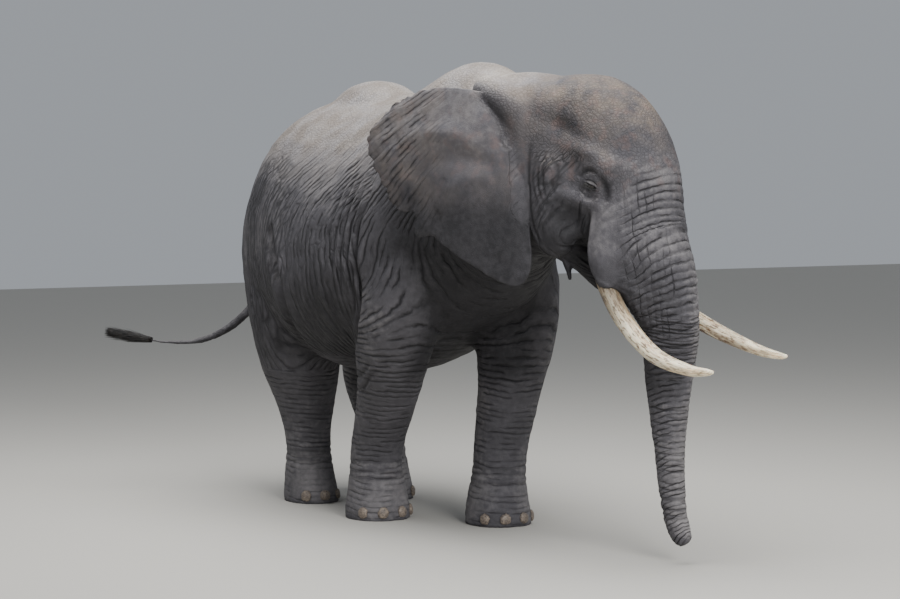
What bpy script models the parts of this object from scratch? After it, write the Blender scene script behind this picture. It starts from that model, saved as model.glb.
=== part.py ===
"""African bush elephant, a life-size standing model in a slow walk.

Body frame: the elephant faces -Y, its right side is -X, +Z is up and the floor is z = 0.
Places on the body are given as (forward, right, up) from the middle of the shoulders.
Places on the head are given as (ahead, aside, up) from the nape, in a frame turned with the head.
"""

import math
from dataclasses import dataclass

import bmesh
import bpy
from mathutils import Matrix, Vector
from mathutils.bvhtree import BVHTree

# ---------------------------------------------------------------- driving sizes, in metres
SHOULDER_HEIGHT = 3.20
BODY_HALF_WIDTH = 0.90
PELVIS_HEIGHT = 3.10
BELLY_CLEARANCE = 0.99

NAPE_FORWARD = 1.24
HEAD_YAW = math.radians(23.0)
CROWN_HEIGHT = 3.09

EYE_RADIUS = 0.031
TUSK_RADIUS = 0.059
EAR_THICKNESS = 0.030
GAP = 0.0006
SEAM = 0.0006

LEG_TOP = 0.98
LEG_SLOPE = 0.25
LEG_REACH = 0.37
FOOT_REACH = 0.52
ANKLE_HEIGHT = 0.36
TRUNK_CUTS = (1.60, 1.20, 0.70)
NAIL_WIDTH = 0.092
NAIL_LENGTH = 0.072
NAIL_HEIGHT = 0.055
NAIL_SPREAD = 36.0

VOXEL = 0.030
FLESH_TRIANGLES = 20000
FLOOR_SNAP = 0.004
SHORT_EDGES = (0.003, 0.0015, 0.006, 0.0)
TRIANGLES = (("body", 1640), ("head", 960), ("neck", 330), ("jaw", 100), ("foot", 170), ("leg", 230),
             ("trunk", 210), ("tail_upper", 150), ("tail_lower", 110))

BODY_NAME = "african_elephant"


# ---------------------------------------------------------------- frames
def body_point(forward, right, up):
    """World place of a body place."""
    return Vector((-right, -forward, up))


def head_point(ahead, aside, up):
    """World place of a head place, turned about the nape."""
    forward = NAPE_FORWARD + ahead * math.cos(HEAD_YAW) + aside * math.sin(HEAD_YAW)
    right = -ahead * math.sin(HEAD_YAW) + aside * math.cos(HEAD_YAW)
    return body_point(forward, right, up)


def head_axes():
    """Unit vectors of the head: ahead, aside to its right, and up."""
    origin = head_point(0.0, 0.0, 0.0)
    ahead = head_point(1.0, 0.0, 0.0) - origin
    aside = head_point(0.0, 1.0, 0.0) - origin
    return ahead, aside, Vector((0.0, 0.0, 1.0))


# ---------------------------------------------------------------- small tools
def spline(rows, steps, closed=False):
    """Rows of numbers joined by a Catmull-Rom curve, with a number of steps in each span."""
    count = len(rows)
    spans = count if closed else count - 1
    result = []
    for span in range(spans):
        if closed:
            picks = [rows[(span + shift) % count] for shift in (-1, 0, 1, 2)]
        else:
            picks = [rows[min(max(span + shift, 0), count - 1)] for shift in (-1, 0, 1, 2)]
        for step in range(steps):
            t = step / steps
            row = []
            for a, b, c, d in zip(*picks):
                bend = (2.0 * a - 5.0 * b + 4.0 * c - d) * t * t
                twist = (3.0 * b - a - 3.0 * c + d) * t * t * t
                row.append(0.5 * (2.0 * b + (c - a) * t + bend + twist))
            result.append(row)
    if not closed:
        result.append(list(rows[-1]))
    return result


def ring_point(angle, right, left, top, bottom, power_top, power_bottom):
    """A point of a four-radius superellipse: (sideways, upwards)."""
    c = math.cos(angle)
    s = math.sin(angle)
    power = power_top if s >= 0.0 else power_bottom
    across = math.copysign(abs(c) ** (2.0 / power), c)
    along = math.copysign(abs(s) ** (2.0 / power), s)
    return across * (right if c >= 0.0 else left), along * (top if s >= 0.0 else bottom)


def mesh_object(name, bm, collection):
    """An object made from a bmesh."""
    mesh = bpy.data.meshes.new(name)
    bmesh.ops.recalc_face_normals(bm, faces=bm.faces)
    bm.to_mesh(mesh)
    bm.free()
    item = bpy.data.objects.new(name, mesh)
    collection.objects.link(item)
    return item


def loft(name, rings, collection):
    """A closed skin over rings that all have the same number of points."""
    bm = bmesh.new()
    loops = [[bm.verts.new(point) for point in ring] for ring in rings]
    sides = len(loops[0])
    for lower, upper in zip(loops, loops[1:]):
        for i in range(sides):
            j = (i + 1) % sides
            bm.faces.new((lower[i], lower[j], upper[j], upper[i]))
    bm.faces.new(loops[0])
    bm.faces.new(loops[-1])
    bmesh.ops.triangulate(bm, faces=[face for face in bm.faces if len(face.verts) > 4])
    return mesh_object(name, bm, collection)


def evaluated_copy(item, name, collection):
    """A plain mesh object of an object as its modifiers leave it."""
    graph = bpy.context.evaluated_depsgraph_get()
    mesh = bpy.data.meshes.new_from_object(item.evaluated_get(graph))
    copy = bpy.data.objects.new(name, mesh)
    copy.matrix_world = item.matrix_world.copy()
    collection.objects.link(copy)
    return copy


def remove(item):
    """Takes an object and its mesh out of the file."""
    data = item.data
    bpy.data.objects.remove(item)
    bpy.data.meshes.remove(data)


def boolean(item, other, operation, keep_other=False):
    """Applies an exact boolean to an object, in place."""
    modifier = item.modifiers.new("cut", "BOOLEAN")
    modifier.operation = operation
    modifier.solver = "EXACT"
    modifier.object = other
    bpy.context.view_layer.update()
    graph = bpy.context.evaluated_depsgraph_get()
    mesh = bpy.data.meshes.new_from_object(item.evaluated_get(graph))
    old = item.data
    item.modifiers.clear()
    item.data = mesh
    bpy.data.meshes.remove(old)
    if not keep_other:
        remove(other)
    return item


def keep_largest(item):
    """Leaves only the biggest connected body of a mesh."""
    bm = bmesh.new()
    bm.from_mesh(item.data)
    bmesh.ops.remove_doubles(bm, verts=bm.verts, dist=0.00002)
    waiting = set(bm.verts)
    bodies = []
    while waiting:
        stack = [waiting.pop()]
        body = set(stack)
        while stack:
            for edge in stack.pop().link_edges:
                for vert in edge.verts:
                    if vert in waiting:
                        waiting.discard(vert)
                        body.add(vert)
                        stack.append(vert)
        bodies.append(body)
    largest = max(bodies, key=len)
    bmesh.ops.delete(bm, geom=[vert for vert in bm.verts if vert not in largest], context="VERTS")
    bm.to_mesh(item.data)
    bm.free()
    return item


def is_closed(mesh):
    """Whether every edge of a mesh has two faces."""
    bm = bmesh.new()
    bm.from_mesh(mesh)
    closed = all(len(edge.link_faces) == 2 for edge in bm.edges)
    bm.free()
    return closed


def without_slivers(mesh, shortest):
    """A triangulated copy of a mesh with the edges under a length closed up."""
    bm = bmesh.new()
    bm.from_mesh(mesh)
    bmesh.ops.triangulate(bm, faces=bm.faces)
    if shortest > 0.0:
        bmesh.ops.dissolve_degenerate(bm, dist=shortest, edges=bm.edges)
        bmesh.ops.triangulate(bm, faces=bm.faces)
    copy = bpy.data.meshes.new(mesh.name)
    bm.to_mesh(copy)
    bm.free()
    return copy


def collapsed(item, mesh, triangles):
    """A mesh with its small edges collapsed until about a number of triangles is left."""
    item.data = mesh
    modifier = item.modifiers.new("thin", "DECIMATE")
    modifier.ratio = min(1.0, triangles / len(mesh.polygons))
    bpy.context.view_layer.update()
    graph = bpy.context.evaluated_depsgraph_get()
    result = bpy.data.meshes.new_from_object(item.evaluated_get(graph))
    item.modifiers.clear()
    return result


def thin(item, triangles):
    """Thins an object's mesh to about a number of triangles, keeping it closed."""
    whole = item.data
    tries = ((shortest, triangles + extra) for shortest in SHORT_EDGES for extra in range(0, 80, 8))
    for shortest, wanted in tries:
        ready = without_slivers(whole, shortest)
        if not is_closed(ready):
            continue
        result = collapsed(item, ready, wanted)
        if is_closed(result):
            item.data = result
            return item
    item.data = whole
    return item


def grown(item, distance, name, collection):
    """A copy of a closed mesh pushed out along its vertex normals."""
    copy = evaluated_copy(item, name, collection)
    for vert, normal in zip(copy.data.vertices, [v.normal.copy() for v in copy.data.vertices]):
        vert.co += normal * distance
    return copy


def ellipsoid(name, centre, radii, axes, collection, segments=24, rings=14):
    """An ellipsoid with its radii along three axes."""
    bm = bmesh.new()
    bmesh.ops.create_uvsphere(bm, u_segments=segments, v_segments=rings, radius=1.0)
    turn = Matrix((axes[0] * radii[0], axes[1] * radii[1], axes[2] * radii[2])).transposed().to_4x4()
    bmesh.ops.transform(bm, matrix=Matrix.Translation(centre) @ turn, verts=bm.verts)
    return mesh_object(name, bm, collection)


def tube(name, rows, sides, collection, steps=4):
    """A round limb swept along (x, y, z, radius) rows."""
    path = spline(rows, steps)
    rings = []
    side = None
    for index, row in enumerate(path):
        before = Vector(path[max(index - 1, 0)][:3])
        after = Vector(path[min(index + 1, len(path) - 1)][:3])
        ahead = (after - before).normalized()
        if side is None:
            side = ahead.orthogonal().normalized()
        side = (side - ahead * side.dot(ahead)).normalized()
        other = ahead.cross(side)
        centre = Vector(row[:3])
        ring = []
        for i in range(sides):
            angle = math.tau * i / sides
            ring.append(centre + (side * math.cos(angle) + other * math.sin(angle)) * row[3])
        rings.append(ring)
    return loft(name, rings, collection)


def box(name, corner_low, corner_high, collection):
    """A box between two corners in body places: (forward, right, up)."""
    a = body_point(*corner_low)
    b = body_point(*corner_high)
    centre = (a + b) * 0.5
    size = Vector((abs(b.x - a.x), abs(b.y - a.y), abs(b.z - a.z)))
    bm = bmesh.new()
    bmesh.ops.create_cube(bm, size=1.0)
    bmesh.ops.transform(bm, matrix=Matrix.Translation(centre) @ Matrix.Diagonal(size).to_4x4(),
                        verts=bm.verts)
    return mesh_object(name, bm, collection)


def head_box(name, low, high, collection, pitch=0.0, pivot=(0.0, 0.0)):
    """A box in head places, pitched nose-down about a pivot (ahead, up)."""
    centre = head_point((low[0] + high[0]) / 2, (low[1] + high[1]) / 2, (low[2] + high[2]) / 2)
    ahead, aside, up = head_axes()
    size = [abs(high[k] - low[k]) for k in range(3)]
    turn = Matrix((ahead * size[0], aside * size[1], up * size[2])).transposed().to_4x4()
    about = head_point(pivot[0], 0.0, pivot[1])
    tilt = Matrix.Translation(about) @ Matrix.Rotation(pitch, 4, aside) @ Matrix.Translation(-about)
    bm = bmesh.new()
    bmesh.ops.create_cube(bm, size=1.0)
    bmesh.ops.transform(bm, matrix=tilt @ Matrix.Translation(centre) @ turn, verts=bm.verts)
    return mesh_object(name, bm, collection)


# ---------------------------------------------------------------- torso and neck
@dataclass(frozen=True)
class Slice:
    """An upright slice across the body."""
    at: float
    top: float
    bottom: float
    half_width: float
    widest: float
    power_top: float = 2.0
    power_bottom: float = 2.2

    def row(self):
        return (self.at, self.top, self.bottom, self.half_width, self.widest,
                self.power_top, self.power_bottom)


W = BODY_HALF_WIDTH
TORSO = (
    Slice(-2.30, 2.28, 1.80, 0.16 * W, 2.02),
    Slice(-2.25, 2.48, 1.52, 0.42 * W, 1.98),
    Slice(-2.10, 2.68, 1.36, 0.65 * W, 1.93, 2.1),
    Slice(-1.85, 2.84, 1.22, 0.82 * W, 1.88, 2.3),
    Slice(-1.55, 2.95, 1.13, 0.91 * W, 1.86, 2.3),
    Slice(-1.25, 2.99, 1.05, 0.96 * W, 1.82, 2.1),
    Slice(-0.90, 2.98, BELLY_CLEARANCE, 1.00 * W, 1.76, 1.9),
    Slice(-0.55, 2.97, 1.06, 0.99 * W, 1.76, 1.9, 2.0),
    Slice(-0.25, 3.02, 1.18, 0.93 * W, 1.82, 1.9, 1.9),
    Slice(0.05, 3.12, 1.32, 0.82 * W, 1.95, 2.0, 1.9),
    Slice(0.30, SHOULDER_HEIGHT, 1.42, 0.70 * W, 2.05, 2.0, 2.0),
    Slice(0.55, 3.16, 1.54, 0.57 * W, 2.15),
    Slice(0.75, 3.08, 1.68, 0.46 * W, 2.25),
    Slice(0.92, 2.90, 1.88, 0.32 * W, 2.32),
)


def upright_rings(slices, sides, steps, place):
    """Rings of upright slices; place turns (along, side, up) into a world place."""
    rings = []
    for at, top, bottom, half, widest, power_top, power_bottom in spline([s.row() for s in slices], steps):
        ring = []
        for i in range(sides):
            across, up = ring_point(math.tau * i / sides, half, half, top - widest, widest - bottom,
                                    power_top, power_bottom)
            ring.append(place(at, across, widest + up))
        rings.append(ring)
    return rings


def make_torso(bench):
    """Barrel, pelvis crest, shoulder blades, haunches and neck."""
    axes = (Vector((0, -1, 0)), Vector((-1, 0, 0)), Vector((0, 0, 1)))
    masses = [loft("barrel", upright_rings(TORSO, 40, 3, body_point), bench)]
    masses.append(ellipsoid("pelvis_crest", body_point(-1.15, 0.0, PELVIS_HEIGHT - 0.24),
                            (0.46, 0.30, 0.245), axes, bench))
    masses.append(ellipsoid("loin", body_point(-0.75, 0.0, 2.80), (0.90, 0.20, 0.205), axes, bench))
    for side in (1, -1):
        blade = Matrix.Rotation(math.radians(12.0), 3, Vector((1, 0, 0)))
        tipped = tuple(blade @ axis for axis in axes)
        masses.append(ellipsoid("blade", body_point(0.08, 0.44 * side, 2.12),
                                (0.36, 0.23, 0.70), tipped, bench))
        masses.append(ellipsoid("haunch", body_point(-1.68, 0.46 * side, 1.86),
                                (0.48, 0.32, 0.72), axes, bench))
    return masses


NECK = (
    Slice(0.30, 3.02, 1.52, 0.52, 2.22),
    Slice(0.65, 3.09, 1.66, 0.49, 2.32),
    Slice(0.95, 3.11, 1.80, 0.450, 2.40, 2.9),
    Slice(1.20, 3.095, 1.90, 0.415, 2.44, 2.9),
    Slice(1.42, 3.045, 1.98, 0.335, 2.46),
)


def neck_place(along, side, up):
    """Neck places bend from the body's frame into the head's."""
    share = min(max((along - 0.45) / 0.95, 0.0), 1.0)
    share = share * share * (3.0 - 2.0 * share)
    straight = body_point(along, side, up)
    turned = head_point(along - NAPE_FORWARD, side, up)
    return straight.lerp(turned, share)


# ---------------------------------------------------------------- head and trunk
@dataclass(frozen=True)
class Level:
    """A level slice through the head, trunk or a leg: centre, front, back and side reach."""
    up: float
    ahead: float
    aside: float
    front: float
    back: float
    half_width: float
    power: float = 2.1

    def row(self):
        return (self.up, self.ahead, self.aside, self.front, self.back, self.half_width, self.power)


SKULL = (
    Level(CROWN_HEIGHT - 0.005, 0.25, 0.0, 0.08, 0.10, 0.06),
    Level(CROWN_HEIGHT - 0.025, 0.27, 0.0, 0.17, 0.22, 0.15),
    Level(3.00, 0.31, 0.0, 0.255, 0.30, 0.245),
    Level(2.90, 0.33, 0.0, 0.355, 0.35, 0.31),
    Level(2.72, 0.37, 0.0, 0.450, 0.38, 0.35),
    Level(2.55, 0.40, 0.0, 0.495, 0.38, 0.355),
    Level(2.40, 0.43, 0.0, 0.505, 0.38, 0.34),
    Level(2.25, 0.48, 0.0, 0.47, 0.36, 0.33),
    Level(2.10, 0.55, 0.0, 0.42, 0.30, 0.33),
    Level(1.95, 0.64, 0.0, 0.35, 0.22, 0.31),
    Level(1.80, 0.72, 0.0, 0.28, 0.18, 0.27),
)


def level_rings(levels, sides, steps, place):
    """Rings of level slices; place turns (ahead, aside, up) into a world place."""
    rings = []
    for up, ahead, aside, front, back, half, power in spline([s.row() for s in levels], steps):
        ring = []
        for i in range(sides):
            side, along = ring_point(math.tau * i / sides, half, half, front, back, power, power)
            ring.append(place(ahead + along, aside + side, up))
        rings.append(ring)
    return rings


@dataclass(frozen=True)
class Bead:
    """A round station along the trunk, tail or tusk: place and radius."""
    ahead: float
    aside: float
    up: float
    radius: float


TRUNK = (
    Bead(0.690, 0.0, 2.06, 0.270),
    Bead(0.755, 0.0, 1.94, 0.256),
    Bead(0.816, 0.0, 1.82, 0.238),
    Bead(0.868, 0.0, 1.64, 0.208),
    Bead(0.900, 0.0, 1.45, 0.186),
    Bead(0.890, 0.0, 1.27, 0.170),
    Bead(0.884, 0.0, 1.10, 0.150),
    Bead(0.888, 0.0, 0.90, 0.124),
    Bead(0.895, 0.0, 0.70, 0.104),
    Bead(0.910, 0.0, 0.50, 0.094),
    Bead(0.930, 0.0, 0.34, 0.087),
    Bead(0.970, 0.0, 0.20, 0.080),
    Bead(1.025, 0.0, 0.125, 0.064),
)


@dataclass(frozen=True)
class Tusk:
    """A tusk: its side, and how much higher than the right one its middle and tip run."""
    word: str
    side: int
    lift: float


TUSK_BEADS = (
    Bead(0.500, 0.235, 1.930, TUSK_RADIUS * 0.96),
    Bead(0.596, 0.258, 1.730, TUSK_RADIUS),
    Bead(0.752, 0.295, 1.525, TUSK_RADIUS * 0.97),
    Bead(1.000, 0.350, 1.340, TUSK_RADIUS * 0.86),
    Bead(1.270, 0.408, 1.268, TUSK_RADIUS * 0.62),
    Bead(1.420, 0.438, 1.262, TUSK_RADIUS * 0.40),
    Bead(1.475, 0.448, 1.266, TUSK_RADIUS * 0.18),
)
TUSK_LIFT_SHARES = (0.0, 0.30, 0.66, 1.0, 0.64, 0.38, 0.32)
TUSKS = (Tusk("right", 1, 0.0), Tusk("left", -1, 0.120))


def tusk_rows(tusk):
    """World rows of a tusk's path."""
    rows = []
    for bead, share in zip(TUSK_BEADS, TUSK_LIFT_SHARES):
        place = head_point(bead.ahead, bead.aside * tusk.side, bead.up + tusk.lift * share)
        rows.append((place.x, place.y, place.z, bead.radius))
    return rows


JAW = (
    Slice(-0.06, 2.20, 1.98, 0.20, 2.08),
    Slice(0.06, 2.24, 1.90, 0.23, 2.06),
    Slice(0.18, 2.24, 1.84, 0.21, 2.04),
    Slice(0.28, 2.20, 1.76, 0.15, 1.98),
    Slice(0.35, 2.10, 1.69, 0.09, 1.90),
    Slice(0.40, 1.97, 1.665, 0.045, 1.82),
)

EYE_PLACE = (0.512, 0.352, 2.376)


def head_bead(bead, side=1, swell=0.0):
    """World place and radius of a bead on the head."""
    place = head_point(bead.ahead, bead.aside * side, bead.up)
    return (place.x, place.y, place.z, bead.radius + swell)


def make_head(bench):
    """Skull, cheeks, brow, tusk sheaths, jaw and trunk."""
    axes = head_axes()
    masses = [loft("neck", upright_rings(NECK, 32, 3, neck_place), bench)]
    masses.append(loft("skull", level_rings(SKULL, 32, 3, head_point), bench))
    masses.append(tube("trunk", [head_bead(b) for b in TRUNK], 24, bench))
    masses.append(loft("jaw", upright_rings(JAW, 20, 3, head_point), bench))
    for side in (1, -1):
        masses.append(ellipsoid("cheek", head_point(0.20, 0.27 * side, 2.26),
                                (0.21, 0.15, 0.36), axes, bench))
        masses.append(ellipsoid("temple", head_point(0.04, 0.22 * side, 2.72),
                                (0.26, 0.19, 0.33), axes, bench))
        masses.append(ellipsoid("brow", head_point(0.56, 0.28 * side, 2.47),
                                (0.16, 0.09, 0.09), axes, bench))
        sheath = [head_bead(Bead(0.52, 0.20, 2.10, 0.12), side),
                  head_bead(Bead(0.555, 0.235, 1.95, 0.115), side),
                  head_bead(Bead(0.590, 0.255, 1.82, 0.100), side),
                  head_bead(Bead(0.620, 0.262, 1.72, 0.078), side)]
        masses.append(tube("sheath", sheath, 16, bench))
        lip = [head_bead(Bead(0.62, 0.20, 1.95, 0.120), side),
               head_bead(Bead(0.70, 0.185, 1.80, 0.110), side),
               head_bead(Bead(0.77, 0.160, 1.66, 0.100), side),
               head_bead(Bead(0.83, 0.120, 1.52, 0.085), side)]
        masses.append(tube("lip", lip, 16, bench))
    return masses


# ---------------------------------------------------------------- legs
FORE_COLUMN = (
    # up, reach ahead, reach behind, half width
    (-0.060, 0.238, 0.228, 0.222),
    (0.030, 0.245, 0.235, 0.230),
    (0.100, 0.240, 0.230, 0.226),
    (0.220, 0.218, 0.212, 0.204),
    (0.400, 0.196, 0.200, 0.184),
    (0.550, 0.202, 0.210, 0.186),
    (0.780, 0.230, 0.240, 0.200),
    (0.980, 0.255, 0.270, 0.215),
    (1.200, 0.300, 0.330, 0.245),
    (1.450, 0.340, 0.350, 0.265),
    (1.750, 0.340, 0.340, 0.260),
    (2.050, 0.260, 0.260, 0.200),
)

HIND_COLUMN = (
    (-0.060, 0.238, 0.218, 0.188),
    (0.030, 0.245, 0.225, 0.195),
    (0.100, 0.238, 0.218, 0.192),
    (0.220, 0.205, 0.200, 0.176),
    (0.400, 0.182, 0.186, 0.164),
    (0.560, 0.192, 0.205, 0.174),
    (0.760, 0.235, 0.255, 0.218),
    (0.980, 0.310, 0.330, 0.275),
    (1.250, 0.390, 0.400, 0.305),
    (1.550, 0.460, 0.470, 0.310),
    (1.850, 0.420, 0.420, 0.290),
)


@dataclass(frozen=True)
class Leg:
    """A leg's foot place and the line its column follows: (up, forward, out from the middle)."""
    name: str
    side: int
    column: tuple
    line: tuple
    toes: int


FRONT_RIGHT = Leg("front_right", 1, FORE_COLUMN, (
    (-0.06, -0.63, 0.285), (0.22, -0.645, 0.285), (0.45, -0.625, 0.30), (0.62, -0.54, 0.315),
    (0.85, -0.37, 0.35), (1.20, -0.14, 0.42), (1.60, 0.02, 0.46), (2.05, 0.10, 0.44)), 4)
FRONT_LEFT = Leg("front_left", -1, FORE_COLUMN, (
    (-0.06, 0.055, 0.30), (0.22, 0.045, 0.30), (0.45, 0.045, 0.32), (0.62, 0.045, 0.34),
    (0.85, 0.06, 0.375), (1.20, 0.08, 0.42), (1.60, 0.08, 0.44), (2.05, 0.08, 0.42)), 4)
HIND_RIGHT = Leg("hind_right", 1, HIND_COLUMN, (
    (-0.06, -1.64, 0.30), (0.22, -1.67, 0.30), (0.45, -1.67, 0.31), (0.76, -1.64, 0.35),
    (1.10, -1.60, 0.42), (1.55, -1.62, 0.46), (1.85, -1.66, 0.46)), 3)
HIND_LEFT = Leg("hind_left", -1, HIND_COLUMN, (
    (-0.06, -1.52, 0.27), (0.22, -1.55, 0.27), (0.45, -1.60, 0.28), (0.76, -1.72, 0.30),
    (0.94, -1.76, 0.33), (1.12, -1.72, 0.39), (1.55, -1.64, 0.46), (1.85, -1.66, 0.46)), 3)
LEGS = (FRONT_RIGHT, FRONT_LEFT, HIND_RIGHT, HIND_LEFT)


def line_at(line, up):
    """Forward and outward place of a leg's middle at a height."""
    points = spline(line, 8)
    for low, high in zip(points, points[1:]):
        if low[0] <= up <= high[0]:
            share = (up - low[0]) / max(high[0] - low[0], 1e-9)
            return low[1] + (high[1] - low[1]) * share, low[2] + (high[2] - low[2]) * share
    return points[-1][1], points[-1][2]


def leg_levels(leg):
    """Level slices of a leg."""
    levels = []
    for up, front, back, half in leg.column:
        forward, out = line_at(leg.line, up)
        levels.append(Level(up, forward, out * leg.side, front, back, half, 2.15))
    return levels


def make_leg(leg, bench):
    """The whole column of a leg."""
    return loft(leg.name, level_rings(leg_levels(leg), 28, 3, body_point), bench)


# ---------------------------------------------------------------- tail
TAIL = (
    # forward, right, up, radius
    (-2.10, 0.00, 2.42, 0.130),
    (-2.27, 0.03, 2.34, 0.105),
    (-2.37, 0.09, 2.10, 0.075),
    (-2.43, 0.19, 1.75, 0.058),
    (-2.50, 0.36, 1.41, 0.048),
    (-2.61, 0.56, 1.21, 0.042),
    (-2.74, 0.76, 1.125, 0.036),
    (-2.87, 0.94, 1.125, 0.031),
    (-2.98, 1.08, 1.150, 0.027),
)
TUFT = (
    (-2.940, 1.030, 1.141, 0.033),
    (-3.030, 1.140, 1.165, 0.047),
    (-3.110, 1.235, 1.188, 0.040),
    (-3.170, 1.310, 1.196, 0.016),
)


def tail_rows(rows):
    """World rows of a tail path."""
    result = []
    for forward, right, up, radius in rows:
        place = body_point(forward, right, up)
        result.append((place.x, place.y, place.z, radius))
    return result


# ---------------------------------------------------------------- ears
EAR_OUTLINE = (
    # back from the root, up
    (0.02, 2.86),
    (0.14, 2.99),
    (0.33, 3.055),
    (0.55, 3.075),
    (0.77, 3.02),
    (0.97, 2.89),
    (1.13, 2.73),
    (1.20, 2.54),
    (1.11, 2.40),
    (1.02, 2.25),
    (0.89, 2.19),
    (0.82, 2.15),
    (0.79, 2.085),
    (0.68, 2.06),
    (0.53, 1.95),
    (0.36, 1.83),
    (0.18, 1.745),
    (0.04, 1.725),
    (-0.03, 1.81),
    (-0.035, 1.95),
    (-0.02, 2.15),
    (-0.02, 2.50),
)
EAR_MIDDLE = (0.42, 2.45)
EAR_ROOT = (0.05, 0.375)


@dataclass(frozen=True)
class EarSet:
    """How an ear stands off the head: splay at the root and at its rear edge, from the body's line."""
    name: str
    side: int
    splay_root: float
    splay_rear: float


RIGHT_EAR = EarSet("ear_right", 1, math.radians(40.0), math.radians(16.0))
LEFT_EAR = EarSet("ear_left", -1, math.radians(34.0), math.radians(8.0))


def ear_place(ear, back, up):
    """World place on an ear's middle surface."""
    root = head_point(EAR_ROOT[0], EAR_ROOT[1] * ear.side, up)
    steps = 12
    forward = 0.0
    out = 0.0
    for step in range(steps):
        share = (step + 0.5) / steps
        reach = back * share / 1.15
        splay = ear.splay_root + (ear.splay_rear - ear.splay_root) * min(max(reach, 0.0), 1.0)
        forward -= math.cos(splay) * back / steps
        out += math.sin(splay) * back / steps
    lean = 0.06 * ((up - 2.45) / 0.6) ** 2
    ripple = 0.018 * math.sin(back * 9.0 + up * 4.0) * min(max(back, 0.0), 1.0)
    return root + body_point(forward, (out - lean * min(max(back * 2.0, 0.0), 1.0) + ripple) * ear.side, 0.0)


def make_ear(ear, parts):
    """A thin leaf: rings shrinking from its outline to its middle, then thickened."""
    outline = spline(EAR_OUTLINE, 2, closed=True)
    shares = (1.0, 0.66)
    bm = bmesh.new()
    loops = []
    for share in shares:
        loop = []
        for back, up in outline:
            here = (EAR_MIDDLE[0] + (back - EAR_MIDDLE[0]) * share,
                    EAR_MIDDLE[1] + (up - EAR_MIDDLE[1]) * share)
            loop.append(bm.verts.new(ear_place(ear, *here)))
        loops.append(loop)
    count = len(outline)
    for outer, inner in zip(loops, loops[1:]):
        for i in range(count):
            j = (i + 1) % count
            bm.faces.new((outer[i], outer[j], inner[j], inner[i]))
    middle = bm.verts.new(ear_place(ear, *EAR_MIDDLE))
    for i in range(count):
        bm.faces.new((loops[-1][i], loops[-1][(i + 1) % count], middle))
    leaf = mesh_object(ear.name + "_leaf", bm, parts)
    solid = leaf.modifiers.new("thick", "SOLIDIFY")
    solid.thickness = EAR_THICKNESS
    solid.offset = 0.0
    bpy.context.view_layer.update()
    thick = evaluated_copy(leaf, ear.name, parts)
    remove(leaf)
    bm = bmesh.new()
    bm.from_mesh(thick.data)
    bmesh.ops.recalc_face_normals(bm, faces=bm.faces)
    bm.to_mesh(thick.data)
    bm.free()
    return thick


# ---------------------------------------------------------------- flesh and its parting
def melt(masses, bench):
    """Joins the masses into one smooth body and thins it to a few thousand triangles."""
    bm = bmesh.new()
    for mass in masses:
        mesh = mass.data
        bm.from_mesh(mesh)
    joined = mesh_object("masses", bm, bench)
    for mass in masses:
        remove(mass)
    weld = joined.modifiers.new("one skin", "REMESH")
    weld.mode = "VOXEL"
    weld.voxel_size = VOXEL
    ease = joined.modifiers.new("ease", "SMOOTH")
    ease.factor = 0.5
    ease.iterations = 8
    bpy.context.view_layer.update()
    body = evaluated_copy(joined, "body", bench)
    remove(joined)
    keep_largest(body)
    boolean(body, box("ground", (-4.0, -3.0, -1.0), (3.0, 3.0, 0.0), bench), "DIFFERENCE")
    thin(body, FLESH_TRIANGLES)
    return body


class Carver:
    """Parts the flesh with flat cuts, and cuts each piece back to them once it has been thinned."""

    def __init__(self, flesh, parts, bench):
        self.parts = parts
        self.bench = bench
        self.inside = {flesh.name: []}
        self.outside = {flesh.name: []}

    def part_off(self, flesh, region, name):
        """Takes the flesh inside a region off as a part and leaves the rest a seam away."""
        piece = evaluated_copy(flesh, name, self.parts)
        wider = swollen_box(region, SEAM, self.bench)
        self.inside[name] = self.inside[flesh.name] + [region]
        self.outside[name] = list(self.outside[flesh.name])
        self.outside[flesh.name].append(wider)
        boolean(piece, region, "INTERSECT", keep_other=True)
        boolean(flesh, wider, "DIFFERENCE", keep_other=True)
        keep_largest(piece)
        return piece

    def finish(self, piece):
        """Thins a piece, flattens its sole and cuts it back to its own side of every cut."""
        thin(piece, next(count for word, count in TRIANGLES if word in piece.name))
        for vert in piece.data.vertices:
            if abs(vert.co.z) < FLOOR_SNAP:
                vert.co.z = 0.0
        for region in self.inside[piece.name]:
            boolean(piece, region, "INTERSECT", keep_other=True)
        for wider in self.outside[piece.name]:
            boolean(piece, wider, "DIFFERENCE", keep_other=True)
        keep_largest(piece)


def swollen_box(region, distance, bench):
    """A copy of a box-like region whose corners stand a little further out."""
    copy = evaluated_copy(region, "wider", bench)
    middle = sum((vert.co for vert in copy.data.vertices), Vector()) / len(copy.data.vertices)
    for vert in copy.data.vertices:
        away = vert.co - middle
        vert.co += Vector(math.copysign(distance, value) for value in away)
    return copy


def bed(piece, item, bench):
    """Cuts a seat for an item into a piece of flesh, with a gap all round it."""
    return boolean(piece, grown(item, GAP, "seat", bench), "DIFFERENCE")


def surface_hit(item, start, direction):
    """Where a ray meets an object's mesh, and the normal there."""
    tree = BVHTree.FromPolygons([v.co.copy() for v in item.data.vertices],
                                [list(p.vertices) for p in item.data.polygons])
    place, normal, _, _ = tree.ray_cast(start, direction)
    return place, normal


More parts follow.
